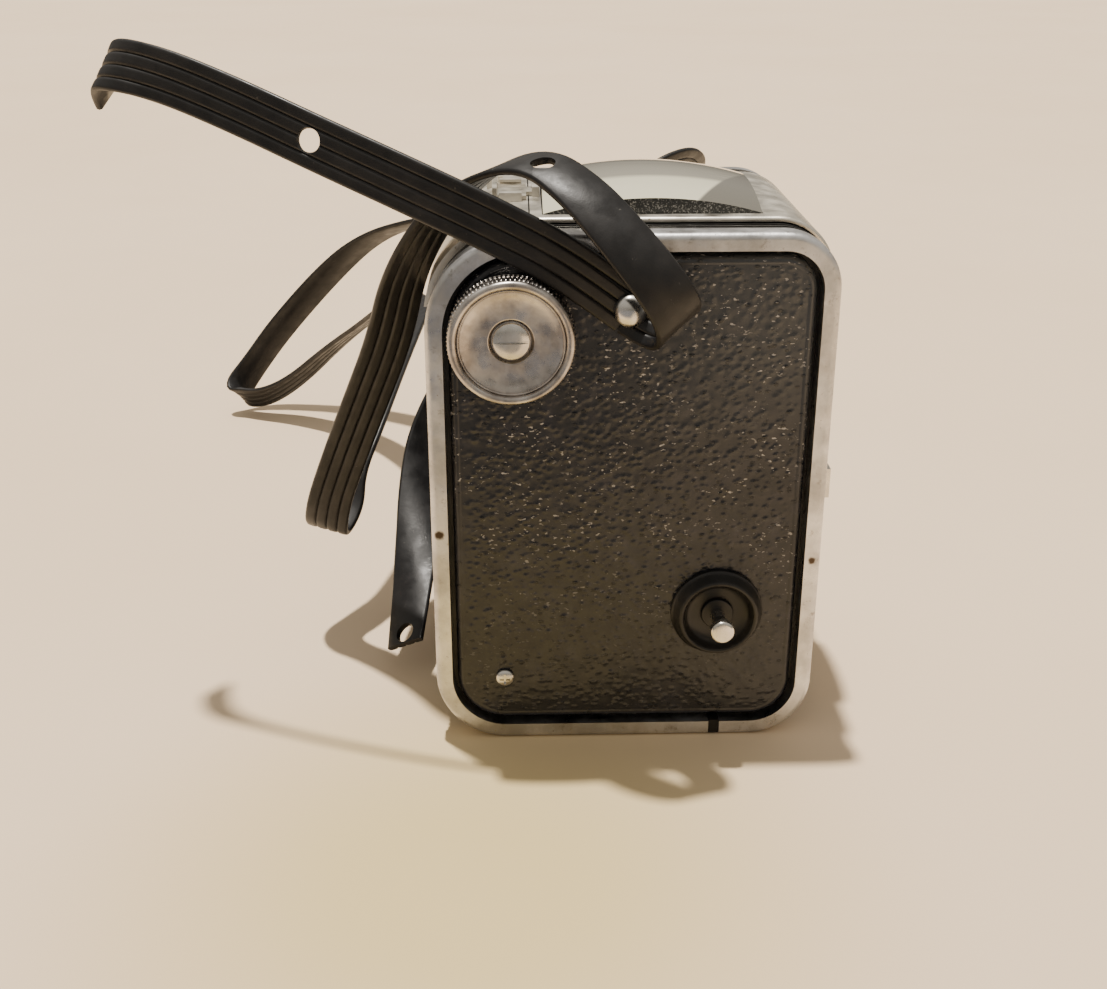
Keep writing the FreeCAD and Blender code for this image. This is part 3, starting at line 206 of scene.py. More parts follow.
def turned(name, profile, foot, sign, segments, body="camera", edge=None):
    """A lathe piece that stands out from a side of the camera.

    The profile is a list of (radius, height); edge(turn, radius, height) may change a radius.
    """
    rings = []
    for radius, height in profile:
        ring = []
        for k in range(segments):
            turn = 2 * math.pi * k / segments
            reach = radius if edge is None else edge(turn, radius, height)
            ring.append((foot[0] - sign * reach * math.cos(turn),
                         foot[1] + sign * height,
                         foot[2] + reach * math.sin(turn)))
        rings.append(ring)
    return link(name, rings_mesh(name, rings), body)


def arc(centre, radius, start, end, steps):
    """Points of an arc in a profile, angles in degrees."""
    points = []
    for i in range(steps + 1):
        turn = math.radians(start + (end - start) * i / steps)
        points.append((centre[0] + radius * math.cos(turn), centre[1] + radius * math.sin(turn)))
    return points


# ---------------------------------------------------------------- materials

# The colour sockets of the Mix node, which has one set of sockets for each kind of value.
MIX_FIRST, MIX_SECOND, MIX_RESULT = 6, 7, 2


class Finish:
    """A Principled material with small helpers for its node tree."""

    def __init__(self, name, metallic=0.0, **sockets):
        self.material = bpy.data.materials.new(name)
        self.material.use_nodes = True
        self.tree = self.material.node_tree
        self.shader = self.tree.nodes["Principled BSDF"]
        self.shader.inputs["Metallic"].default_value = metallic
        for socket, value in sockets.items():
            self.shader.inputs[socket.replace("_", " ")].default_value = value
        self.coordinates = self.tree.nodes.new("ShaderNodeTexCoord").outputs["Object"]

    def node(self, kind, **settings):
        """Add a node with some settings."""
        made = self.tree.nodes.new(kind)
        for key, value in settings.items():
            setattr(made, key, value)
        return made

    def join(self, out, into):
        """Link a socket to a socket."""
        self.tree.links.new(out, into)

    def along_axes(self):
        """The place on the object, as one socket for each axis."""
        place = self.node("ShaderNodeSeparateXYZ")
        self.join(self.coordinates, place.inputs[0])
        return place.outputs["X"], place.outputs["Y"], place.outputs["Z"]

    def from_point(self, point):
        """The distance from a point, which is given in millimetres."""
        offset = self.node("ShaderNodeVectorMath", operation="DISTANCE")
        self.join(self.coordinates, offset.inputs[0])
        offset.inputs[1].default_value = metres(point)
        return offset.outputs["Value"]

    def stretched(self, stretch):
        """Object coordinates, or these stretched along the axes."""
        if stretch is None:
            return self.coordinates
        mapping = self.node("ShaderNodeMapping")
        mapping.inputs["Scale"].default_value = stretch
        self.join(self.coordinates, mapping.inputs["Vector"])
        return mapping.outputs["Vector"]

    def noise(self, scale, detail=3.0, rough=0.5, stretch=None):
        """Cloudy noise from 0 to 1."""
        made = self.node("ShaderNodeTexNoise")
        made.inputs["Scale"].default_value = scale
        made.inputs["Detail"].default_value = detail
        made.inputs["Roughness"].default_value = rough
        self.join(self.stretched(stretch), made.inputs["Vector"])
        return made.outputs["Fac"]

    def voronoi(self, scale, stretch=None):
        """Distance to the nearest of many scattered points."""
        made = self.node("ShaderNodeTexVoronoi", feature="F1")
        made.inputs["Scale"].default_value = scale
        self.join(self.stretched(stretch), made.inputs["Vector"])
        return made.outputs["Distance"]

    def spread(self, value, low, high, to_low=0.0, to_high=1.0):
        """Map a value's range to another, with soft ends."""
        made = self.node("ShaderNodeMapRange", clamp=True, interpolation_type="SMOOTHSTEP")
        self.join(value, made.inputs["Value"])
        made.inputs["From Min"].default_value = low
        made.inputs["From Max"].default_value = high
        made.inputs["To Min"].default_value = to_low
        made.inputs["To Max"].default_value = to_high
        return made.outputs["Result"]

    def maths(self, operation, first, second):
        """Combine two values; each is a number or a socket."""
        made = self.node("ShaderNodeMath", operation=operation)
        for socket, value in zip(made.inputs, (first, second)):
            if isinstance(value, (int, float)):
                socket.default_value = value
            else:
                self.join(value, socket)
        return made.outputs["Value"]

    def blend(self, share, first, second):
        """Mix two colours; each is a colour or a socket."""
        made = self.node("ShaderNodeMix", data_type="RGBA")
        self.join(share, made.inputs["Factor"])
        for number, colour in ((MIX_FIRST, first), (MIX_SECOND, second)):
            if isinstance(colour, tuple):
                made.inputs[number].default_value = (*colour, 1.0)
            else:
                self.join(colour, made.inputs[number])
        return made.outputs[MIX_RESULT]

    def colour(self, socket):
        """Set the base colour."""
        self.join(socket, self.shader.inputs["Base Color"])

    def rough(self, socket):
        """Set the roughness."""
        self.join(socket, self.shader.inputs["Roughness"])

    def bump(self, *layers):
        """Stack bumps: (height socket, strength, distance in metres). Returns the finish."""
        normal = None
        for height, strength, distance in layers:
            made = self.node("ShaderNodeBump")
            made.inputs["Strength"].default_value = strength
            made.inputs["Distance"].default_value = distance
            self.join(height, made.inputs["Height"])
            if normal is not None:
                self.join(normal, made.inputs["Normal"])
            normal = made.outputs["Normal"]
        self.join(normal, self.shader.inputs["Normal"])
        return self

    def spot(self, place, size, edge=0.4):
        """1 inside a small ball round a place, fading at its ragged edge."""
        ragged = self.maths("MULTIPLY", self.noise(900.0, 2.0), size * MM)
        reach = self.maths("ADD", self.from_point(place), ragged)
        return self.spread(reach, size * MM * (1.5 - edge), size * MM * (1.5 + edge), 1.0, 0.0)

    def worn_edges(self, low, high):
        """1 along the sharp outer edges."""
        return self.spread(self.node("ShaderNodeNewGeometry").outputs["Pointiness"], low, high)


def dress(piece, finish):
    """Give a piece one finish."""
    piece.data.materials.clear()
    piece.data.materials.append(finish.material)


# Two dents in the right band where the metal has gone dark: place and size.
BAND_DENTS = (((-41.3, -39.0, 52.0), 1.0), ((41.0, -39.0, 44.8), 0.8))


def band_finish():
    """Satin aluminium, clouded and scratched by handling."""
    dull, bright = (0.43, 0.425, 0.42), (0.70, 0.70, 0.71)
    grimy, chipped, dented = (0.28, 0.265, 0.25), (0.13, 0.105, 0.08), (0.075, 0.055, 0.04)
    f = Finish("band_aluminium", metallic=1.0)
    cloud = f.noise(60.0, 6.0, 0.68)
    tone = f.blend(f.spread(cloud, 0.34, 0.66), dull, bright)
    grime = f.spread(f.noise(330.0, 5.0, 0.72), 0.56, 0.74)
    tone = f.blend(grime, tone, grimy)
    chips = f.spread(f.noise(900.0, 4.0, 0.7), 0.67, 0.71)
    tone = f.blend(chips, tone, chipped)
    rear_dent, front_dent = [f.spot(place, size) for place, size in BAND_DENTS]
    tone = f.blend(f.maths("MAXIMUM", rear_dent, front_dent), tone, dented)
    f.colour(tone)
    f.rough(f.spread(f.noise(140.0, 5.0, 0.65), 0.3, 0.7, 0.26, 0.50))
    streaks = f.noise(900.0, 3.0, stretch=(1.0, 1.0, 0.12))
    return f.bump((f.noise(300.0, 4.0), 0.2, 0.0004), (streaks, 0.14, 0.00012), (chips, 0.4, -0.0002))


def cover_finish():
    """Bright lacquered metal, a little clouded, with a few brown spots."""
    shaded, bright, rusty = (0.84, 0.785, 0.68), (0.94, 0.90, 0.81), (0.35, 0.25, 0.13)
    f = Finish("cover_metal", metallic=1.0)
    cloud = f.noise(30.0, 4.0, 0.55)
    tone = f.blend(f.spread(cloud, 0.3, 0.7), shaded, bright)
    spots = f.spread(f.noise(430.0, 3.0, 0.6), 0.70, 0.76)
    f.colour(f.blend(spots, tone, rusty))
    f.rough(f.spread(f.noise(200.0, 4.0), 0.3, 0.7, 0.28, 0.46))
    return f.bump((f.noise(160.0, 3.0), 0.05, 0.0002), (f.noise(2400.0, 3.0), 0.08, 0.0001))


def pebbled_finish(name):
    """Glossy black enamel over a pebbled ground, dusty, with a painted pale sheen at the upper front
    and painted glints.
    """
    black, dusty = (0.0058, 0.0068, 0.0110), (0.018, 0.0185, 0.027)
    # colours of the painted sheen and of the painted glints
    painted_sheen_colour, painted_glint_colour = (0.042, 0.046, 0.053), (0.42, 0.40, 0.39)
    f = Finish(name, Specular_IOR_Level=0.3, Coat_Weight=0.6, Coat_Roughness=0.2)
    dust = f.spread(f.noise(150.0, 5.0, 0.65), 0.48, 0.75)
    tone = f.blend(dust, black, dusty)
    x, _, z = f.along_axes()
    # painted sheen: the panel is paler towards its upper front
    painted_sheen_mask = f.maths("MULTIPLY", f.spread(x, -25.0 * MM, 35.0 * MM), f.spread(z, 60.0 * MM, 100.0 * MM))
    tone = f.blend(painted_sheen_mask, tone, painted_sheen_colour)
    # painted glints: small pale spots that stand for highlights on the grains, in patches, fewer
    # towards the bottom
    worn = f.spread(f.noise(1050.0, 2.0, 0.6, stretch=(0.62, 1.0, 1.25)), 0.62, 0.68)
    crowd = f.spread(f.noise(95.0, 3.0, 0.6), 0.44, 0.60)
    high = f.spread(z, 22.0 * MM, 70.0 * MM, 0.12, 1.0)
    specks = f.maths("MULTIPLY", worn, f.maths("MULTIPLY", crowd, high))
    f.colour(f.blend(specks, tone, painted_glint_colour))
    f.rough(f.spread(f.noise(260.0, 4.0), 0.3, 0.7, 0.34, 0.60))
    grain = f.spread(f.voronoi(620.0, stretch=(0.75, 1.0, 1.15)), 0.04, 0.34, 1.0, 0.0)
    patches = f.spread(f.noise(330.0, 3.0, 0.6), 0.46, 0.60)
    fine = f.noise(1900.0, 4.0, 0.65)
    return f.bump((f.maths("MULTIPLY", grain, patches), 1.0, 0.0010), (fine, 0.4, 0.00009))


def moulding_finish(name, low=0.30, high=0.46):
    """Black moulding, a little dusty; low and high are the limits of its roughness."""
    black, dusty = (0.010, 0.0095, 0.009), (0.030, 0.027, 0.024)
    f = Finish(name, Specular_IOR_Level=0.4)
    f.colour(f.blend(f.spread(f.noise(90.0, 5.0, 0.6), 0.45, 0.8), black, dusty))
    f.rough(f.spread(f.noise(150.0, 4.0), 0.3, 0.7, low, high))
    return f.bump((f.noise(1400.0, 3.0), 0.12, 0.0001))


def enamel_finish():
    """Matt black enamel, worn grey along its edges."""
    black, dusty, worn = (0.012, 0.012, 0.012), (0.028, 0.027, 0.026), (0.25, 0.24, 0.22)
    f = Finish("black_enamel")
    tone = f.blend(f.spread(f.noise(70.0, 4.0), 0.4, 0.8), black, dusty)
    f.colour(f.blend(f.worn_edges(0.56, 0.66), tone, worn))
    f.rough(f.spread(f.noise(220.0, 4.0), 0.3, 0.7, 0.45, 0.65))
    return f.bump((f.noise(1800.0, 3.0), 0.2, 0.0001))


def nickel_finish(name, dark, light, low, high, ring=0.0):
    """Plated metal with tarnish; ring adds fine turning marks round the Y axis."""
    f = Finish(name, metallic=1.0)
    cloud = f.noise(140.0, 5.0, 0.62)
    f.colour(f.blend(f.spread(cloud, 0.32, 0.7), light, dark))
    f.rough(f.spread(f.noise(330.0, 4.0), 0.3, 0.7, low, high))
    layers = [(f.noise(1100.0, 4.0), 0.10, 0.0001)]
    if ring:
        layers.append((f.noise(500.0, 2.0, stretch=(1.0, ring, 1.0)), 0.05, 0.0001))
    return f.bump(*layers)


def brass_finish():
    """Brass with brown tarnish."""
    bright, brown = (0.63, 0.46, 0.19), (0.36, 0.24, 0.10)
    f = Finish("brass", metallic=1.0)
    f.colour(f.blend(f.spread(f.noise(200.0, 4.0), 0.35, 0.7), bright, brown))
    f.rough(f.spread(f.noise(300.0, 3.0), 0.3, 0.7, 0.25, 0.42))
    return f.bump((f.noise(900.0, 3.0), 0.1, 0.0001))


# The near tail's cut end, where the vinyl has gone pale: place and size.
PALE_END = ((-111.8, 1.5, 140.0), 3.2)


def vinyl_finish():
    """Semi-gloss black vinyl, greyed where it has been rubbed."""
    black, rubbed_grey = (0.0080, 0.0076, 0.0080), (0.023, 0.021, 0.021)
    scuffed, pale = (0.085, 0.08, 0.072), (0.42, 0.39, 0.34)
    f = Finish("strap_vinyl", Specular_IOR_Level=0.42)
    rubbed = f.spread(f.noise(60.0, 5.0, 0.62), 0.45, 0.78)
    tone = f.blend(rubbed, black, rubbed_grey)
    scuffs = f.spread(f.noise(520.0, 4.0, 0.7), 0.68, 0.76)
    tone = f.blend(scuffs, tone, scuffed)
    f.colour(f.blend(f.spot(*PALE_END, edge=0.5), tone, pale))
    f.rough(f.spread(f.noise(260.0, 4.0), 0.3, 0.7, 0.34, 0.54))
    return f.bump((f.noise(420.0, 4.0), 0.14, 0.0003), (f.noise(3000.0, 3.0), 0.22, 0.00006))


def glass_finish(name, colour, roughness):
    """Clear or tinted glass with faint smears."""
    smeared = tuple(c * 0.94 for c in colour)
    f = Finish(name, Transmission_Weight=1.0, IOR=1.49)
    f.colour(f.blend(f.spread(f.noise(90.0, 4.0, 0.6), 0.45, 0.8), colour, smeared))
    f.rough(f.spread(f.noise(60.0, 4.0), 0.4, 0.8, roughness, roughness + 0.05))
    return f.bump((f.noise(40.0, 2.0), 0.03, 0.0005))


# The finder's top has a painted reflection: bright at the near side, grey beyond a soft line across
# it, and dark beyond a slanted line at the front. The slope is how X changes with Y on that line.
REFLECTION_GREY_LINE = (-12.5, -9.5)
REFLECTION_GREY_WANDER = 3.0
REFLECTION_DARK_LINE = 26.8
REFLECTION_DARK_SLOPE = 0.525
REFLECTION_DARK_SOFT = 0.5


def finder_glass_painted_reflection():
    """Bright top of the finder: a painted pale reflection of the room, grey beyond and dark in front.
    """
    # colours of the painted reflection: bright near, grey beyond, pale streaks, dark at the front
    bright, reflected_grey = (0.76, 0.72, 0.54), (0.29, 0.27, 0.21)
    reflected_streak_colour, dark = (0.86, 0.83, 0.68), (0.13, 0.12, 0.095)
    f = Finish("finder_glass_painted_reflection", IOR=1.52, Coat_Weight=1.0, Coat_Roughness=0.02)
    x, y, _ = f.along_axes()
    wander = f.maths("MULTIPLY", f.maths("SUBTRACT", f.noise(35.0, 2.0), 0.5), REFLECTION_GREY_WANDER * MM)
    depth = f.maths("ADD", y, wander)
    far = f.spread(depth, REFLECTION_GREY_LINE[0] * MM, REFLECTION_GREY_LINE[1] * MM)
    tone = f.blend(far, bright, reflected_grey)
    # painted pale streaks in the reflection
    streaks = f.spread(f.noise(260.0, 4.0, 0.6, stretch=(0.08, 1.0, 1.0)), 0.5, 0.8, 0.0, 0.35)
    tone = f.blend(streaks, tone, reflected_streak_colour)
    slanted = f.maths("ADD", x, f.maths("MULTIPLY", depth, -REFLECTION_DARK_SLOPE))
    past_line = f.maths("SUBTRACT", slanted, REFLECTION_DARK_LINE * MM)
    f.colour(f.blend(f.spread(past_line, -REFLECTION_DARK_SOFT * MM, REFLECTION_DARK_SOFT * MM), tone, dark))
    f.rough(f.spread(f.noise(60.0, 4.0), 0.4, 0.8, 0.05, 0.12))
    return f


def ground_side():
    """Dark ground side face of the finder lens, full of fine bright specks."""
    dark, bright = (0.030, 0.031, 0.030), (0.42, 0.41, 0.38)
    f = Finish("ground_side", Specular_IOR_Level=0.6)
    f.colour(f.blend(f.spread(f.noise(2600.0, 3.0, 0.7), 0.52, 0.66), dark, bright))
    f.rough(f.spread(f.noise(900.0, 3.0), 0.3, 0.7, 0.3, 0.55))
    return f.bump((f.noise(2200.0, 3.0), 0.35, 0.0001))


def mirror_finish():
    """Silvered glass with a few dull patches."""
    silver, dull = (0.90, 0.91, 0.90), (0.62, 0.60, 0.55)
    f = Finish("mirror_silver", metallic=1.0)
    f.colour(f.blend(f.spread(f.noise(60.0, 5.0), 0.55, 0.75), silver, dull))
    f.rough(f.spread(f.noise(120.0, 4.0), 0.4, 0.8, 0.02, 0.10))
    return f


def steel_finish():
    """Plain steel, darkened in places."""
    clean, darkened = (0.56, 0.55, 0.54), (0.34, 0.31, 0.28)
    f = Finish("plain_steel", metallic=1.0)
    f.colour(f.blend(f.spread(f.noise(150.0, 4.0), 0.4, 0.7), clean, darkened))
    f.rough(f.spread(f.noise(300.0, 4.0), 0.3, 0.7, 0.28, 0.42))
    return f.bump((f.noise(1500.0, 3.0), 0.08, 0.0001))


KNOB_TARNISH, KNOB_PLATE = (0.30, 0.27, 0.25), (0.60, 0.565, 0.53)
BRIGHT_TARNISH, BRIGHT_PLATE = (0.52, 0.50, 0.46), (0.76, 0.74, 0.70)
LATCH_TARNISH, LATCH_PLATE = (0.62, 0.56, 0.45), (0.88, 0.84, 0.74)

# The finish of each material slot in the record.
FINISHES = {
    "satin_aluminium": band_finish(),
    "cover_metal": cover_finish(),
    "pebbled_panel": pebbled_finish("pebbled_enamel"),
    "black_moulding": moulding_finish("black_moulding"),
    "black_enamel": enamel_finish(),
    "knob_nickel": nickel_finish("knob_nickel", KNOB_TARNISH, KNOB_PLATE, 0.22, 0.40, ring=6.0),
    "bright_nickel": nickel_finish("bright_nickel", BRIGHT_TARNISH, BRIGHT_PLATE, 0.16, 0.32),
    "plain_steel": steel_finish(),
    "spool_enamel": moulding_finish("spool_enamel", 0.3, 0.5),
    "optical_glass": glass_finish("optical_glass", (0.93, 0.96, 0.93), 0.0),
    "mirror_silver": mirror_finish(),
    "red_celluloid": glass_finish("red_celluloid", (0.55, 0.015, 0.012), 0.08),
    "brass": brass_finish(),
    "strap_vinyl": vinyl_finish(),
}
SLOT_OF = {part["node"]: part["material_slot"] for part in frame["record"]["subparts"]}


def stand_for(piece, node):
    """Let a piece stand for a CAD node, with the finish of its slot unless it has its own."""
    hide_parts(node)
    slot = SLOT_OF[node]
    if not piece.data.materials:
        dress(piece, FINISHES[slot])


def dress_nodes():
    """Give every CAD node its slot's finish, with smooth curved faces."""
    for name, node in NODES.items():
        dress(node, FINISHES[SLOT_OF[name]])
        weld = node.modifiers.new("weld", "WELD")
        weld.merge_threshold = 0.000001
        node.data.shade_smooth()
        crisp = node.modifiers.new("crisp_edges", "EDGE_SPLIT")
        crisp.split_angle = math.radians(CREASE)


# ---------------------------------------------------------------- strap

STRAP_WIDTH = 11.0
STRAP_SHEET = 1.6
RIBS = 4
RIB_STEPS = 14            # points across one rib
RIB_HEIGHT = 0.42
RIB_FLATNESS = 5          # the higher, the flatter a rib's crown
RIB_CREASE = 50.0         # a crease angle that keeps the ribs smooth and the strap's edges crisp
EDGE_FALL = 0.45          # how far the strap's edges are rounded off
TURN_REACH = 5.0          # how far beside the route the line runs that gives the strap its turn
HOLE_RADIUS = 2.35
HOLE_WEAR = 0.25          # how much wider a hole is at the strap's faces
HOLE_POINTS = 32
PUNCH_REACH = 3.0         # how far the punch goes through on both sides of the strap's middle

# Each route is a list of points with the direction of the strap's width at each.
STRAP_LOOP = [
    ((-0.5, -39.2, 102.5), (0.5, 0.0, 0.87)),
    ((3.6, -40.6, 100.2), (0.5, 0.2, 0.85)),
    ((8.0, -44.3, 99.3), (0.65, 0.55, 0.55)),
    ((8.6, -50.0, 103.8), (0.85, 0.25, 0.43)),
    ((3.8, -51.0, 111.3), (0.75, 0.35, 0.52)),
    ((-3.6, -48.0, 120.0), (0.75, 0.5, 0.45)),
    ((-10.8, -42.5, 127.3), (0.75, 0.57, 0.3)),
    ((-19.3, -33.5, 132.0), (0.65, 0.73, 0.23)),
    ((-30.0, -26.0, 128.3), (0.5, 0.87, 0.05)),
    ((-40.0, -21.0, 119.0), (0.68, 0.7, -0.2)),
    ((-48.5, -15.0, 104.6), (0.82, 0.55, -0.12)),
    ((-53.0, -7.0, 87.2), (0.93, 0.33, -0.16)),
    ((-60.0, 0.5, 69.8), (0.92, 0.27, -0.26)),
    ((-66.8, 6.5, 53.0), (0.93, 0.22, -0.3)),
    ((-72.3, 9.5, 38.5), (0.93, 0.2, -0.2)),
    ((-74.0, 15.0, 28.0), (0.93, -0.3, -0.2)),
    ((-69.5, 23.0, 32.5), (0.87, -0.48, 0.0)),
    ((-68.3, 27.5, 40.0), (0.75, -0.6, 0.3)),
    ((-64.5, 36.0, 47.5), (0.8, -0.42, 0.43)),
    ((-61.0, 54.0, 54.5), (0.84, -0.28, 0.47)),
    ((-57.5, 78.0, 60.0), (0.85, -0.18, 0.5)),
    ((-55.5, 105.0, 63.5), (0.97, 0.05, 0.25)),
    ((-60.5, 131.0, 61.0), (0.92, 0.38, 0.15)),
    ((-74.0, 156.0, 46.5), (0.7, 0.67, 0.2)),
    ((-89.5, 172.0, 32.0), (0.64, 0.77, 0.0)),
    ((-107.0, 182.0, 14.5), (0.57, 0.75, -0.33)),
    ((-121.0, 185.5, 6.5), (0.4, 0.55, -0.7)),
    ((-132.0, 190.0, 7.0), (0.65, 0.1, -0.75)),
    ((-124.5, 197.0, 16.5), (0.6, 0.5, -0.63)),
    ((-112.5, 199.0, 32.0), (0.65, 0.45, -0.6)),
    ((-91.5, 197.0, 54.5), (0.65, 0.52, -0.55)),
    ((-76.0, 190.0, 67.5), (0.6, 0.73, -0.3)),
    ((-59.0, 179.0, 75.0), (0.55, 0.82, -0.2)),
    ((-40.0, 168.5, 78.0), (0.45, 0.65, -0.6)),
    ((-20.0, 157.0, 80.5), (0.25, 0.3, -0.92)),
    ((1.0, 134.0, 84.5), (0.1, 0.1, -1.0)),
    ((17.0, 110.0, 90.0), (0.0, 0.1, -1.0)),
    ((24.5, 90.0, 98.0), (-0.2, -0.2, -0.95)),
    ((26.0, 74.0, 108.0), (-0.6, -0.35, -0.72)),
    ((21.5, 62.0, 115.5), (-0.4, 0.5, -0.75)),
    ((13.5, 52.0, 112.5), (0.3, 0.3, -0.9)),
    ((6.0, 43.0, 106.5), (0.65, 0.1, -0.75)),
    ((-0.5, 39.2, 102.5), (0.6, 0.0, -0.78)),
]
STRAP_NEAR_TAIL = [
    ((-0.5, -39.2, 102.5), (-0.5, 0.0, -0.87)),
    ((-12.0, -41.0, 111.6), (-0.45, 0.0, -0.89)),
    ((-27.0, -41.0, 119.6), (-0.46, 0.0, -0.88)),
    ((-44.0, -37.5, 127.0), (-0.45, 0.0, -0.89)),
    ((-63.0, -31.0, 134.5), (-0.42, 0.0, -0.9)),
    ((-82.0, -23.5, 142.0), (-0.4, 0.0, -0.91)),
    ((-97.5, -16.5, 147.0), (-0.38, 0.0, -0.92)),
    ((-109.0, -10.5, 148.5), (-0.42, -0.2, -0.88)),
    ((-112.0, -3.5, 145.5), (-0.42, -0.45, -0.8)),
    ((-111.8, 0.5, 141.5), (-0.42, -0.6, -0.68)),
]
STRAP_FAR_TAIL = [
    ((-0.5, 39.2, 102.5), (-0.6, 0.0, 0.78)),
    ((-10.0, 41.5, 94.5), (-0.63, 0.0, 0.76)),
    ((-21.0, 44.0, 84.5), (-0.7, 0.0, 0.7)),
    ((-32.0, 46.5, 72.5), (-0.75, -0.2, 0.62)),
    ((-42.0, 46.5, 59.0), (-0.75, -0.45, 0.45)),
    ((-49.0, 39.5, 46.5), (-0.75, -0.6, 0.25)),
    ((-50.5, 27.5, 35.0), (-0.85, -0.35, 0.1)),
    ((-50.5, 14.5, 25.0), (-0.9, -0.1, -0.1)),
    ((-51.5, 2.0, 16.0), (-0.8, 0.2, -0.35)),
    ((-52.5, -9.5, 8.8), (-0.77, 0.35, -0.45)),
]

# Where the hole of each run is, as a share of the run's length.
LOOP_HOLE, NEAR_TAIL_HOLE, FAR_TAIL_HOLE = 0.083, 0.54, 0.972


def spline_points(points, steps=8):
    """Points read from the NURBS spline that has these points as its control points."""
    data = bpy.data.curves.new("route", "CURVE")
    data.dimensions = "3D"
    data.resolution_u = steps
    spline = data.splines.new("NURBS")
    spline.points.add(len(points) - 1)
    for control, point in zip(spline.points, points):
        control.co = (*point, 1.0)
    spline.order_u = 3
    spline.use_endpoint_u = True
    route = bpy.data.objects.new("route", data)
    line = bpy.data.meshes.new_from_object(route)
    found = [v.co.copy() for v in line.vertices]
    bpy.data.objects.remove(route)
    bpy.data.curves.remove(data)
    bpy.data.meshes.remove(line)
    return found


def strap_section():
    """Points round the strap's section: (across, up), with low rounded ribs on the upper side."""
    half, thick = STRAP_WIDTH / 2, STRAP_SHEET / 2
    pitch = STRAP_WIDTH / RIBS
    count = RIBS * RIB_STEPS
    top = [(half, thick - EDGE_FALL)]
    for i in range(1, count):
        place = i / RIB_STEPS
        from_crown = 2 * abs(place - math.floor(place) - 0.5)
        top.append((half - pitch * place, thick - RIB_HEIGHT * from_crown ** RIB_FLATNESS))
    top.append((-half, thick - EDGE_FALL))
    bottom = [(-half, -thick + EDGE_FALL), (-half + EDGE_FALL, -thick), (0.0, -thick),
              (half - EDGE_FALL, -thick), (half, -thick + EDGE_FALL)]
    return top + bottom


def strap(node, route, hole):
    """A ribbed strap along its route, with one round hole at a share of its length."""
    centres = spline_points([Vector(point) for point, _ in route])
    beside = spline_points([Vector(point) + Vector(across).normalized() * TURN_REACH
                            for point, across in route])
    section = strap_section()
    rings, places = [], []
    for i, centre in enumerate(centres):
        before, after = centres[max(i - 1, 0)], centres[min(i + 1, len(centres) - 1)]
        along = (after - before).normalized()
        across = beside[i] - centre
        across = (across - along * across.dot(along)).normalized()
        up = along.cross(across)
        places.append((centre, along, across, up))
        rings.append([centre + across * u + up * v for u, v in section])
    name = "ribbed_" + node
    piece = link(name, rings_mesh(name, rings, RIB_CREASE))
    lengths = [0.0]
    for here, there in zip(centres, centres[1:]):
        lengths.append(lengths[-1] + (there - here).length)
    nearest = min(range(len(lengths)), key=lambda i: abs(lengths[i] - hole * lengths[-1]))
    punch(piece, *places[nearest])
    shade(piece.data, RIB_CREASE)
    stand_for(piece, node)


def punch(piece, centre, along, across, up):
    """Cut a round hole through the strap, square to it and a little wider at both faces."""
    face = STRAP_SHEET / 2
    worn = HOLE_RADIUS + HOLE_WEAR
    turns = [2 * math.pi * k / HOLE_POINTS for k in range(HOLE_POINTS)]
    rings = []
    for height, radius in ((-PUNCH_REACH, worn), (-face, worn), (0.0, HOLE_RADIUS),
                           (face, worn), (PUNCH_REACH, worn)):
        rings.append([centre + up * height + (along * math.cos(t) + across * math.sin(t)) * radius
                      for t in turns])
    cut_by(piece, rings_mesh("punch", rings))


# ---------------------------------------------------------------- side panels

# The outline of the camera's side is the trim band's, and the panel follows it inside.
BAND_LOW, BAND_HIGH = box_of("left_trim_band")
PANEL_LOW, PANEL_HIGH = box_of("left_side_panel")
DEPTH, HEIGHT = BAND_HIGH[0] - BAND_LOW[0], BAND_HIGH[2]
PANEL_FOOT, PANEL_FACE = PANEL_LOW[1], PANEL_HIGH[1]
PANEL_INSET = PANEL_LOW[2]

FRONT_TOP, REAR_TOP, REAR_BOTTOM, FRONT_BOTTOM = 12.0, 21.0, 16.0, 14.0   # corner radii
PANEL_ROLL = 1.8          # radius of the panel's rolled edge
ROLL_ANGLES = (12, 26, 40, 54, 66, 78, 90)
SKIRT_GAP = 0.05          # between the panel's skirt and the wall behind it
PANEL_CREASE = 60.0
GRID = 0.33               # spacing of the points on the pebbled ground
CORNER_ROWS = 48          # rows of points in the height of a corner

PEBBLE = 0.24             # height of the grains
CELL_LENGTH, CELL_HEIGHT = 1.75, 1.25
GRAIN_LAYER, SWELL_LAYER = 3.7, 9.0    # where the noise is cut for the grains and the swell
GRAIN_REACH = 0.30        # how much of its cell the smallest grain fills; the largest, twice that
GRAIN_LOW, GRAIN_GAIN = 0.35, 0.9      # height of the smallest grain, and what the largest adds
GRAIN_SHARE, SWELL_SHARE = 0.8, 0.25   # how much of the height is grains, and how much is swell
SIZE_SCALE = 7.3          # how quickly the grains' size changes from one to the next
SWELL_SCALE = 0.5
PEBBLE_FADE = 1.5         # how far from the edge the grains have their full height


def corner_centres():
    """Centre, radius and the signs of each corner of the side outline."""
    return [
        (DEPTH / 2 - FRONT_TOP, HEIGHT - FRONT_TOP, FRONT_TOP, 1, 1),
        (-DEPTH / 2 + REAR_TOP, HEIGHT - REAR_TOP, REAR_TOP, -1, 1),
        (-DEPTH / 2 + REAR_BOTTOM, REAR_BOTTOM, REAR_BOTTOM, -1, -1),
        (DEPTH / 2 - FRONT_BOTTOM, FRONT_BOTTOM, FRONT_BOTTOM, 1, -1),
    ]


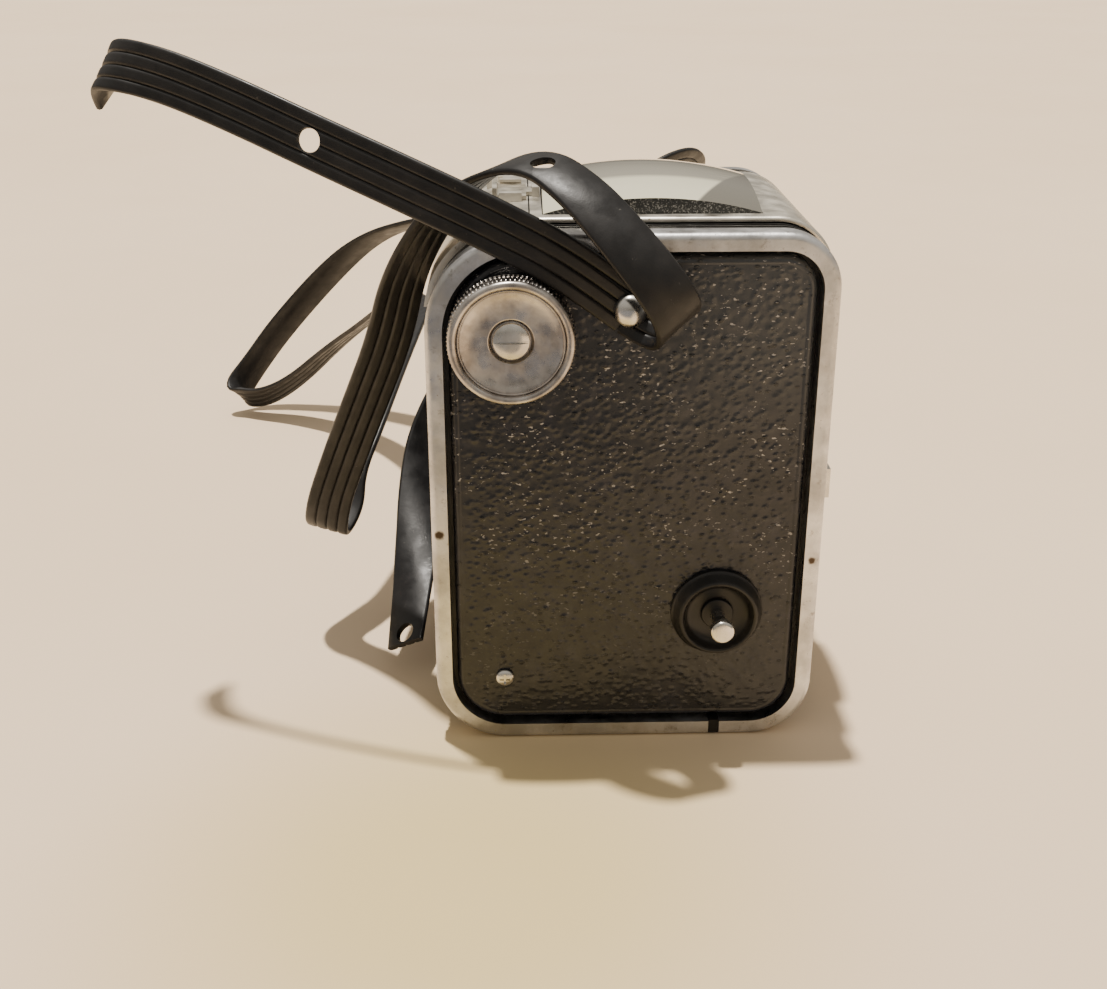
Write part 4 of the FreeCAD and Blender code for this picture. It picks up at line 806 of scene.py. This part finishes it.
def row_ends(z, inset):
    """Where a level meets the outline: for each end, the place and the direction outwards."""
    ends = []
    for end in (-1, 1):
        x, outwards = end * (DEPTH / 2 - inset), (end, 0.0)
        for centre_x, centre_z, radius, sign_x, sign_z in corner_centres():
            if sign_x == end and (z - centre_z) * sign_z > 0:
                reach = radius - inset
                up = min(abs(z - centre_z), reach)
                out = math.sqrt(max(reach * reach - up * up, 0.0))
                x = centre_x + sign_x * out
                outwards = (sign_x * out / reach, sign_z * up / reach)
        ends.append((x, outwards))
    return ends


def row_levels(inset):
    """Levels of the grid's rows, closer together where the corners curve away."""
    low, high = inset, HEIGHT - inset
    bend_low = max(REAR_BOTTOM, FRONT_BOTTOM)
    bend_high = HEIGHT - max(REAR_TOP, FRONT_TOP)
    quarter = [math.pi / 2 * i / CORNER_ROWS for i in range(CORNER_ROWS + 1)]
    levels = [low + (bend_low - low) * (1 - math.cos(t)) for t in quarter[:-1]]
    count = int((bend_high - bend_low) / GRID)
    levels += [bend_low + (bend_high - bend_low) * i / count for i in range(count)]
    levels += [bend_high + (high - bend_high) * math.sin(t) for t in quarter]
    return levels


def pebble(x, z, from_edge):
    """Height of the pebbled ground: raised grains of mixed size, lower near the rolled edge."""
    spot = Vector((x / CELL_LENGTH, GRAIN_LAYER, z / CELL_HEIGHT))
    distances, places = noise.voronoi(spot)
    size = 0.5 + 0.5 * noise.noise(places[0] * SIZE_SCALE)
    reach = GRAIN_REACH * (1.0 + size)
    tall = GRAIN_LOW + GRAIN_GAIN * size
    grain = max(0.0, 1.0 - (distances[0] / reach) ** 2) * tall
    swell = noise.noise(Vector((x, SWELL_LAYER, z)) * SWELL_SCALE)
    rise = GRAIN_SHARE * grain + SWELL_SHARE * swell
    return PEBBLE * rise * min(1.0, from_edge / PEBBLE_FADE)


def pebbled_ground(sign, inset):
    """A panel's pebbled face: its points, and how many rows and columns they make."""
    levels = row_levels(inset)
    steps = int((DEPTH - 2 * inset) / GRID)
    points = []
    for z in levels:
        (rear, _), (front, _) = row_ends(z, inset)
        for column in range(steps + 1):
            x = rear + (front - rear) * column / steps
            from_edge = min(x - rear, front - x, z - levels[0], levels[-1] - z)
            points.append((x, sign * (PANEL_FACE - PEBBLE + pebble(x, z, from_edge)), z))
    return points, len(levels), steps + 1


def edge_direction(row, column, rows, columns, z, inset):
    """The direction outwards, along X and Z, at a point of the ground's border."""
    if row == 0 and 0 < column < columns - 1:
        return 0.0, -1.0
    if row == rows - 1 and 0 < column < columns - 1:
        return 0.0, 1.0
    rear, front = row_ends(z, inset)
    return front[1] if column else rear[1]


def pebbled_side(side, sign):
    """A pressed panel: pebbled ground, smooth rolled edge and a straight skirt."""
    inset = PANEL_INSET + PANEL_ROLL
    points, rows, columns = pebbled_ground(sign, inset)
    faces = grid_faces(rows, columns)
    border = grid_border(rows, columns)
    edge = []
    for index in border:
        x, _, z = points[index]
        edge.append((x, z, *edge_direction(*divmod(index, columns), rows, columns, z, inset)))
    angles = [math.radians(a) for a in ROLL_ANGLES]
    roll = [(PANEL_ROLL * math.sin(t), PANEL_FACE - PANEL_ROLL * (1 - math.cos(t))) for t in angles]
    previous = border
    for out, level in roll + [(PANEL_ROLL, PANEL_FOOT + SKIRT_GAP)]:
        ring = list(range(len(points), len(points) + len(border)))
        points += [(x + to_x * out, sign * level, z + to_z * out) for x, z, to_x, to_z in edge]
        faces += belt_faces(previous, ring)
        previous = ring
    faces.append(tuple(previous))
    node = side + "_side_panel"
    name = "pebbled_" + node
    stand_for(link(name, mesh_from(name, points, faces, PANEL_CREASE)), node)


# ---------------------------------------------------------------- fittings

# Profiles are lists of (radius, height) from the foot of the piece.
TIP = 0.05                # radius of the small flat that closes the tip of a turned piece
SCREW_POINTS, SMALL_POINTS, RING_POINTS = 72, 96, 160      # points round the turned pieces

KNURLS, KNURL_DEPTH, KNURL_POINTS = 90, 0.32, 8
KNURL_INNER, KNURL_LOW, KNURL_HIGH = 13.0, 0.9, 5.0
KNOB_RADIUS, KNOB_BORE, KNOB_ROUND = 13.2, 2.55, 0.8
KNOB_HUB = [(KNOB_BORE, 0.6), (4.6, 0.6), (4.6, 0.0), (KNOB_RADIUS - KNOB_ROUND, 0.0)]
KNOB_SKIRT = [(KNOB_RADIUS, height) for height in (1.0, 1.9, 2.9, 3.9, 4.7)]
KNOB_NECK = [(13.02, 4.95), (12.98, 5.05)]
KNOB_RIM = arc((12.1, 5.3), 0.9, 0, 150, 12)
KNOB_GROOVE = [(11.22, 5.25), (11.1, 5.1)]
KNOB_INNER_RIM = arc((10.92, 5.12), 0.2, 20, 160, 6)
KNOB_DISH = [(10.6, 4.95), (10.3, 4.9), (9.6, 4.62), (8.6, 4.36), (7.2, 4.2), (6.0, 4.14), (4.9, 4.14)]
KNOB_WELL = arc((4.9, 3.84), 0.3, 90, 160, 4) + [(4.35, 3.5), (4.1, 3.25), (KNOB_BORE, 3.2)]
SCREW_SEAT = 3.22         # where the knob's screw sits
SCREW_HEAD = [(TIP, 0.0), (3.8, 0.0), *arc((3.45, 0.55), 0.42, 0, 70, 5),
              (2.8, 1.28), (2.0, 1.42), (1.0, 1.5), (TIP, 1.52)]
SCREW_SLOT = (9.0, 1.3, 0.6)
SCREW_SLOT_RISE = 4.8     # height of the slot's middle above the knob's foot

STUD_SHANK, STUD_HEAD, STUD_SEAT, STUD_DOME = 1.45, 3.5, 8.9, 2.2
STUD_ROUND, STUD_EDGE = 0.3, 0.1       # the head's rounded lower edge, and the straight above it
STUD_ANGLES = range(6, 88, 6)          # where the dome has its rings, in degrees from its edge

SIDE_SCREW = [(TIP, -5.0), (1.25, -5.0), (1.25, 0.0), (2.1, 0.0), (2.1, 0.35), (1.95, 0.62),
              (1.5, 0.9), (0.9, 1.07), (TIP, 1.15)]
# The two crossed slots, as sizes along X, Y and Z.
CROSS_SLOTS = ((2.5, 1.3, 0.5), (0.5, 1.32, 2.5))
CROSS_RISE = 0.95         # height of the crossed slots' middle above the panel

PIN_SHANK = 1.6
CONTACT_WALL = [(PIN_SHANK, 0.0), (10.3, 0.0), (10.3, 0.55), *arc((10.0, 0.75), 0.3, 0, 70, 4),
                (9.7, 1.6), (9.1, 3.2)]
CONTACT_LIP = arc((8.35, 3.45), 0.55, 25, 165, 9)
CONTACT_DISH = [(7.5, 2.9), (7.1, 2.0), (6.6, 1.5), (5.8, 1.2), (4.6, 1.05), (3.7, 1.0)]
CONTACT_HUB = arc((3.3, 1.6), 0.3, -10, 100, 5) + [(2.6, 1.9), (PIN_SHANK, 1.9)]
CONTACT_PIN = [(TIP, -6.0), (PIN_SHANK, -6.0), (PIN_SHANK, 8.1), (2.0, 8.35),
               *arc((2.15, 9.0), 0.5, -60, 0, 4), (2.65, 10.0),
               *arc((1.85, 10.1), 0.8, 10, 75, 6), (1.0, 10.96), (TIP, 11.0)]


def knurled(turn, radius, height):
    """Fine notches round the knob's edge."""
    if radius > KNURL_INNER and KNURL_LOW < height < KNURL_HIGH:
        return radius - KNURL_DEPTH * (0.5 + 0.5 * math.cos(KNURLS * turn)) ** 1.5
    return radius


def winding_knob():
    """The dished knob with its rolled rim, and the domed, slotted screw in its middle."""
    foot = foot_of("winding_knob", SIDES["right"])
    profile = (KNOB_HUB + arc((KNOB_RADIUS - KNOB_ROUND, KNOB_ROUND), KNOB_ROUND, -90, 0, 5)
               + KNOB_SKIRT + KNOB_NECK + KNOB_RIM + KNOB_GROOVE + KNOB_INNER_RIM
               + KNOB_DISH + KNOB_WELL)
    around = KNURLS * KNURL_POINTS
    knob = turned("turned_knob", profile, foot, SIDES["right"], around, "winder", knurled)
    stand_for(knob, "winding_knob")
    seat = (foot[0], foot[1] - SCREW_SEAT, foot[2])
    screw = turned("turned_knob_screw", SCREW_HEAD, seat, SIDES["right"], SMALL_POINTS, "winder")
    cut_slot(screw, (foot[0], foot[1] - SCREW_SLOT_RISE, foot[2]), SCREW_SLOT)
    shade(screw.data)
    stand_for(screw, "knob_screw")


def strap_stud(side, sign):
    """A stud with a domed head, which holds the strap."""
    node = side + "_strap_stud"
    rim = STUD_SEAT + STUD_ROUND
    dome_foot = rim + STUD_EDGE
    dome = [(STUD_HEAD * math.cos(t), dome_foot + STUD_DOME * math.sin(t))
            for t in [math.radians(a) for a in STUD_ANGLES]]
    flat = STUD_HEAD - STUD_ROUND
    profile = ([(TIP, 0.0), (STUD_SHANK, 0.0), (STUD_SHANK, STUD_SEAT), (flat, STUD_SEAT)]
               + arc((flat, rim), STUD_ROUND, -90, 0, 4)
               + dome + [(TIP, dome_foot + STUD_DOME)])
    stand_for(turned("turned_stud_" + side, profile, foot_of(node, sign), sign, SMALL_POINTS), node)


def side_screws():
    """The screw with crossed slots at the lower rear of each side."""
    x, _, z = middle_of("side_screws")
    for side, sign in SIDES.items():
        foot = (x, sign * PANEL_FACE, z)
        piece = turned("turned_screw_" + side, SIDE_SCREW, foot, sign, SCREW_POINTS)
        for size in CROSS_SLOTS:
            cut_slot(piece, (x, sign * (PANEL_FACE + CROSS_RISE), z), size)
        shade(piece.data)
        stand_for(piece, "side_screws")


def flash_contact():
    """The dished black ring of the flash contact, and the bright pin in its middle."""
    x, _, z = middle_of("contact_pin")
    foot = (x, -PANEL_FACE, z)
    profile = CONTACT_WALL + CONTACT_LIP + CONTACT_DISH + CONTACT_HUB
    ring = turned("turned_contact_ring", profile, foot, SIDES["right"], RING_POINTS)
    stand_for(ring, "contact_ring")
    pin = turned("turned_contact_pin", CONTACT_PIN, foot, SIDES["right"], SMALL_POINTS)
    stand_for(pin, "contact_pin")


# ---------------------------------------------------------------- finder lens

FINDER_HALF = 23.2        # half the width of the lens above its flange
FINDER_FOOT = 114.4
DOME_RADIUS = 88.0
DOME_STEPS = 48
FINDER_CREASE = 40.0


def finder_block():
    """Thick square lens: a domed top over four ground side faces."""
    middle = middle_of("finder_lens")[0]
    crown = box_of("finder_lens")[1][2]
    steps = [-FINDER_HALF + 2 * FINDER_HALF * i / DOME_STEPS for i in range(DOME_STEPS + 1)]
    points = []
    for y in steps:
        for x in steps:
            height = crown - DOME_RADIUS + math.sqrt(DOME_RADIUS ** 2 - x * x - y * y)
            points.append((middle + x, y, height))
    faces = grid_faces(len(steps), len(steps))
    top_faces = len(faces)
    border = grid_border(len(steps), len(steps))
    foot = list(range(len(points), len(points) + len(border)))
    points += [(points[index][0], points[index][1], FINDER_FOOT) for index in border]
    faces += belt_faces(border, foot)
    faces.append(tuple(foot))
    piece = link("finder_block", mesh_from("finder_block", points, faces, FINDER_CREASE))
    piece.data.materials.append(finder_glass_painted_reflection().material)
    piece.data.materials.append(ground_side().material)
    for number, polygon in enumerate(piece.data.polygons):
        polygon.material_index = 0 if number < top_faces else 1
    stand_for(piece, "finder_lens")


# ---------------------------------------------------------------- floor and light

FLOOR_HALF = 6000.0
DARK_FLOOR_EDGE = -150.0        # where the floor turns dark along Y, on the viewer's side
DARK_FLOOR_SLANT = 2.2         # how much farther out it turns dark for each step along X to the front
DARK_FLOOR_FADE = (-80.0, 20.0)             # the change is soft, from beyond that line to before it
YELLOW_PLACE = (-35.0, -92.0, 0.0)
YELLOW_REACH = (15.0, 105.0)           # fully yellow inside the first, plain beyond the second

# The room round the camera: height, from 0 at the horizon to 1 overhead, and colour.
ROOM_LOW = (0.0, (0.20, 0.18, 0.15))
ROOM_WALL = (0.35, (0.46, 0.425, 0.37))
ROOM_HIGH = (1.0, (0.62, 0.58, 0.52))

KEY_TOWARDS = (-0.092, 0.112, 1.0)
KEY_POWER = 5.3
KEY_WIDTH = 2.2           # the light's disc, in degrees
KEY_COLOUR = (1.0, 0.945, 0.865)


def floor_finish():
    """Warm paper, darker and more yellow round one place; out of view on the viewer's side the floor
    is dark grey.
    """
    light, shaded = (0.86, 0.675, 0.475), (0.83, 0.645, 0.445)
    yellow, dark_floor_grey = (0.72, 0.555, 0.27), (0.145, 0.145, 0.155)
    f = Finish("paper", Specular_IOR_Level=0.2)
    paper = f.blend(f.spread(f.noise(3.0, 4.0, 0.6), 0.3, 0.75), light, shaded)
    # darker and more yellow round a place in front of the camera
    inner, outer = YELLOW_REACH
    yellow_share = f.spread(f.from_point(YELLOW_PLACE), inner * MM, outer * MM, 1.0, 0.0)
    paper = f.blend(yellow_share, paper, yellow)
    x, y, _ = f.along_axes()
    to_front = f.maths("MAXIMUM", x, 0.0)
    slanted = f.maths("ADD", y, f.maths("MULTIPLY", to_front, DARK_FLOOR_SLANT))
    beyond, before = [(DARK_FLOOR_EDGE + fade) * MM for fade in DARK_FLOOR_FADE]
    # beyond that line, out of view, the floor is dark grey
    f.colour(f.blend(f.spread(slanted, beyond, before, 1.0, 0.0), paper, dark_floor_grey))
    f.rough(f.spread(f.noise(40.0, 3.0), 0.3, 0.7, 0.7, 0.85))
    return f.bump((f.noise(700.0, 3.0), 0.08, 0.0002))


def make_floor():
    """The sheet of paper that the camera stands on."""
    corners = [(x * FLOOR_HALF, y * FLOOR_HALF, 0.0) for x, y in ((-1, -1), (1, -1), (1, 1), (-1, 1))]
    mesh = bpy.data.meshes.new("floor")
    mesh.from_pydata([metres(corner) for corner in corners], [], [(0, 1, 2, 3)])
    floor = bpy.data.objects.new("floor", mesh)
    bpy.context.scene.collection.objects.link(floor)
    dress(floor, floor_finish())


def make_room():
    """Soft light from all round, warmer and darker towards the horizon."""
    world = bpy.data.worlds.new("room")
    world.use_nodes = True
    tree = world.node_tree
    view = tree.nodes.new("ShaderNodeTexCoord")
    height = tree.nodes.new("ShaderNodeSeparateXYZ")
    tree.links.new(view.outputs["Generated"], height.inputs[0])
    ramp = tree.nodes.new("ShaderNodeValToRGB")
    elements = ramp.color_ramp.elements
    for element, (place, colour) in zip(elements, (ROOM_LOW, ROOM_HIGH)):
        element.position = place
        element.color = (*colour, 1.0)
    place, colour = ROOM_WALL
    elements.new(place).color = (*colour, 1.0)
    tree.links.new(height.outputs["Z"], ramp.inputs["Fac"])
    tree.links.new(ramp.outputs["Color"], tree.nodes["Background"].inputs["Color"])
    bpy.context.scene.world = world


def key_light():
    """One strong lamp from high above and a little behind."""
    data = bpy.data.lights.new("key_light", "SUN")
    data.energy = KEY_POWER
    data.angle = math.radians(KEY_WIDTH)
    data.color = KEY_COLOUR
    lamp = bpy.data.objects.new("key_light", data)
    lamp.rotation_euler = Vector(KEY_TOWARDS).to_track_quat("Z", "Y").to_euler()
    bpy.context.scene.collection.objects.link(lamp)


# ---------------------------------------------------------------- making

for side, sign in SIDES.items():
    pebbled_side(side, sign)
    strap_stud(side, sign)
strap("strap_loop", STRAP_LOOP, LOOP_HOLE)
strap("strap_near_tail", STRAP_NEAR_TAIL, NEAR_TAIL_HOLE)
strap("strap_far_tail", STRAP_FAR_TAIL, FAR_TAIL_HOLE)
side_screws()
winding_knob()
flash_contact()
finder_block()

make_floor()
make_room()
key_light()

dress_nodes()
dress(NODES["back_latch"], nickel_finish("latch_nickel", LATCH_TARNISH, LATCH_PLATE, 0.26, 0.44))
